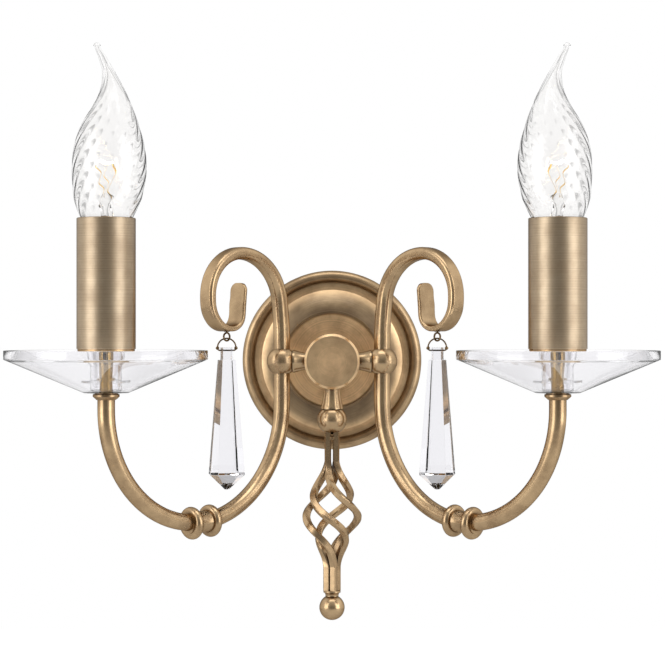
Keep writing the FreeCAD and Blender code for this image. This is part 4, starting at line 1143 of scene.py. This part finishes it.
@dataclass
class CrystalDrop(SubAssembly):
    """One cut drop on its wire clip, under the scroll's eyelet."""

    side: Side
    turn: float = 9.0                   # degrees
    head_width: float = 6.4 * MM
    head_depth: float = 5.0 * MM
    head_height: float = 6.6 * MM
    head_bevel: float = 0.9 * MM
    shoulder_width: float = 9.0 * MM
    foot_width: float = 18.2 * MM
    body_height: float = 60.6 * MM
    point_height: float = 8.0 * MM
    point_width: float = 2.2 * MM
    chamfer: float = 0.205              # share of the width that each corner loses
    edge: float = 0.12 * MM
    sharp: float = 12.0
    top: Vector = field(init=False)

    def __post_init__(self) -> None:
        """Find the middle of the drop's head on the left half."""
        _, self.top = self.ends("crystal_left")

    def build(self) -> None:
        """Dress the clip and eyelet and build the drop."""
        word = self.side.word
        self.dress(Finish.WIRE, f"clip_{word}", f"eyelet_{word}")
        self.seat(self.drop(), Finish.CRYSTAL, f"crystal_{word}", "crystal_glass",
                  f"crystal_{word}")

    def octagon(self, width: float, depth: float, cut: float, height: float) -> Ring:
        """Return a rectangle with cut corners at a height, centred and turned.

        Args:
            width: Its width.
            depth: Its depth.
            cut: How much each corner loses.
            height: Its height above the drop's top.

        Returns:
            The eight corners.
        """
        half, deep = width / 2, depth / 2
        corners = [(half, cut - deep), (half, deep - cut), (half - cut, deep), (cut - half, deep)]
        corners += [(-x, -y) for x, y in corners]
        turn = Matrix.Rotation(math.radians(self.turn), 3, "Z")
        return [self.top + turn @ Vector((x, y, height)) for x, y in corners]

    def drop(self) -> Piece:
        """Return the faceted drop with slightly ground edges."""
        shoulder = -self.head_height
        foot = shoulder - self.body_height
        rings = [self.octagon(width, width, width * self.chamfer, height)
                 for width, height in ((self.point_width, foot - self.point_height),
                                       (self.foot_width, foot), (self.shoulder_width, shoulder))]
        rings += [self.octagon(self.head_width, self.head_depth, self.head_bevel, height)
                  for height in (shoulder, 0.0)]
        piece = mesh_object("cut_drop", loft(rings), self.side, self.sharp)
        bevel = piece.modifiers.new("ground edges", "BEVEL")
        bevel.width = self.edge
        bevel.segments = 2
        bevel.limit_method = "ANGLE"
        bevel.angle_limit = math.radians(self.sharp)
        return piece


# --- Studio ---


@dataclass(frozen=True)
class LampPanel:
    """A soft rectangular lamp that faces the object."""

    name: str
    place: Row
    size: Pair
    power: float

    def build(self) -> None:
        """Add the lamp to the scene."""
        data = bpy.data.lights.new(self.name, "AREA")
        data.shape = "RECTANGLE"
        data.size, data.size_y = self.size
        data.energy = self.power
        panel = scene_object(self.name, data)
        panel.location = self.place
        panel.rotation_euler = (-Vector(self.place)).to_track_quat("-Z", "Y").to_euler()


@dataclass(frozen=True)
class Studio:
    """The camera, lamps, pale floor and white surroundings."""

    camera_distance: float = 1.087
    camera_height: float = 0.0157
    camera_clip: Pair = (0.01, 100.0)
    focal_pixels: float = 1900.0
    image_side: float = 665.0
    centre_pixel: float = 332.0
    sensor: float = 36.0
    panels: tuple[LampPanel, ...] = (
        LampPanel("left panel", (-1.0, -0.72, 0.25), (0.75, 1.1), 4.6),
        LampPanel("right panel", (1.0, -0.72, 0.25), (0.75, 1.1), 4.6),
        LampPanel("top panel", (0.0, -0.35, 1.1), (0.9, 0.5), 3.0))
    floor_height: float = -0.42
    floor_size: float = 3.4
    floor_color: Color = (0.8, 0.8, 0.8, 1.0)
    floor_roughness: float = 0.9
    floor_glow: float = 0.6
    diffuse_level: float = 0.5
    glass_dim: float = 0.5
    # middle and half width of the dim cards, measured as a squared cosine and a squared sine
    upright_card: Pair = (0.895, 0.05)
    level_card: Pair = (0.17, 0.07)
    card_fade: Pair = (0.2, 1.5)
    # brightness of the room, and where it changes between the front and the sides or upwards
    room_front: float = 0.22
    room_side: float = 0.85
    room_top: float = 0.4
    side_span: Pair = (0.3, 0.85)
    top_span: Pair = (0.1, 0.9)

    def build(self) -> None:
        """Set up everything round the object."""
        self.camera()
        self.world()
        for panel in self.panels:
            panel.build()
        self.floor()
        bpy.context.scene.view_settings.view_transform = "Standard"

    def camera(self) -> None:
        """Place the camera where the photograph was taken from."""
        data = bpy.data.cameras.new("camera")
        data.sensor_width = self.sensor
        data.lens = self.focal_pixels / self.image_side * self.sensor
        data.shift_x = (self.image_side / 2 - self.centre_pixel) / self.image_side
        data.clip_start, data.clip_end = self.camera_clip
        eye = scene_object("camera", data)
        eye.location = (0.0, -self.camera_distance, self.camera_height)
        eye.rotation_euler = (math.radians(90), 0.0, 0.0)
        bpy.context.scene.camera = eye

    def world(self) -> None:
        """Make surroundings that look white and light evenly, and that metal and glass show."""
        world = bpy.data.worlds.new("studio")
        bpy.context.scene.world = world
        world.use_nodes = True
        tree = world.node_tree
        rays = node_of(tree, "LightPath").outputs
        inside_glass = math_node(tree, "MINIMUM", rays["Transmission Depth"], 1.0)
        level = self.room(tree)
        for kind, value in ((inside_glass, self.backdrop(tree)),
                            (rays["Is Diffuse Ray"], self.diffuse_level),
                            (rays["Is Camera Ray"], 1.0)):
            level = mix_node(tree, kind, level, value, data_type="FLOAT")
        fill(tree, tree.nodes["Background"], Color=(1.0, 1.0, 1.0, 1.0), Strength=level)

    def backdrop(self, tree: Tree) -> Socket:
        """Return what glass shows: white all round, with dim upright and level cards in it.

        Args:
            tree: The world's nodes.

        Returns:
            The brightness in each direction.
        """
        x, y, z = (squared(tree, axis) for axis in axes(tree, "Generated"))
        nearest = math_node(tree, "DIVIDE", math_node(tree, "MAXIMUM", x, y),
                            math_node(tree, "ADD", x, y))
        return math_node(tree, "MINIMUM", self.card(tree, nearest, self.upright_card),
                         self.card(tree, z, self.level_card))

    def card(self, tree: Tree, measure: Socket, band: Pair) -> Socket:
        """Return the brightness of white with a soft-edged dim band in it.

        Args:
            tree: The world's nodes.
            measure: The measure of direction that the band is laid out on.
            band: The measure at the band's middle, and half of its width.

        Returns:
            The brightness in each direction.
        """
        middle, half = band
        off = math_node(tree, "ABSOLUTE", math_node(tree, "SUBTRACT", measure, middle))
        start, end = self.card_fade
        return map_range(tree, off, (start * half, end * half), (self.glass_dim, 1.0), smooth=True)

    def room(self, tree: Tree) -> Socket:
        """Return what metal shows: a room with dim front and back and bright sides and top.

        Args:
            tree: The world's nodes.

        Returns:
            The brightness in each direction.
        """
        x, _, z = axes(tree, "Generated")
        side = map_range(tree, math_node(tree, "ABSOLUTE", x), self.side_span,
                         (self.room_front, self.room_side), smooth=True)
        top = map_range(tree, z, self.top_span, (0.0, self.room_top), smooth=True)
        return math_node(tree, "ADD", side, top)

    def floor(self) -> None:
        """Lay a plain pale floor under the object, white to the camera and through glass."""
        mesh = bpy.data.meshes.new("floor")
        half = self.floor_size / 2
        corners = [(-half, -half), (half, -half), (half, half), (-half, half)]
        mesh.from_pydata([(x, y, self.floor_height) for x, y in corners], [], [(0, 1, 2, 3)])
        plane = scene_object("floor", mesh)
        material, tree, shader = new_material("pale floor")
        rays = node_of(tree, "LightPath").outputs
        seen = math_node(tree, "MAXIMUM", rays["Is Camera Ray"], rays["Is Transmission Ray"])
        fill(tree, shader, Base_Color=self.floor_color, Roughness=self.floor_roughness,
             Emission_Color=(1.0, 1.0, 1.0, 1.0),
             Emission_Strength=math_node(tree, "MULTIPLY", seen, self.floor_glow))
        mesh.materials.append(material)


def main() -> None:
    """Load the frame, build every sub-assembly round it and light it."""
    logging.basicConfig(level=logging.INFO, format="%(name)s: %(message)s")
    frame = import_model()
    Studio().build()
    assemblies: list[SubAssembly] = [WallSide(frame), Hub(frame), Basket(frame)]
    for side in Side:
        assemblies += [kind(frame, side) for kind in (Arm, CandleStack, Lamp, CrystalDrop)]
    for assembly in assemblies:
        assembly.build()


if __name__ == "__main__":
    main()
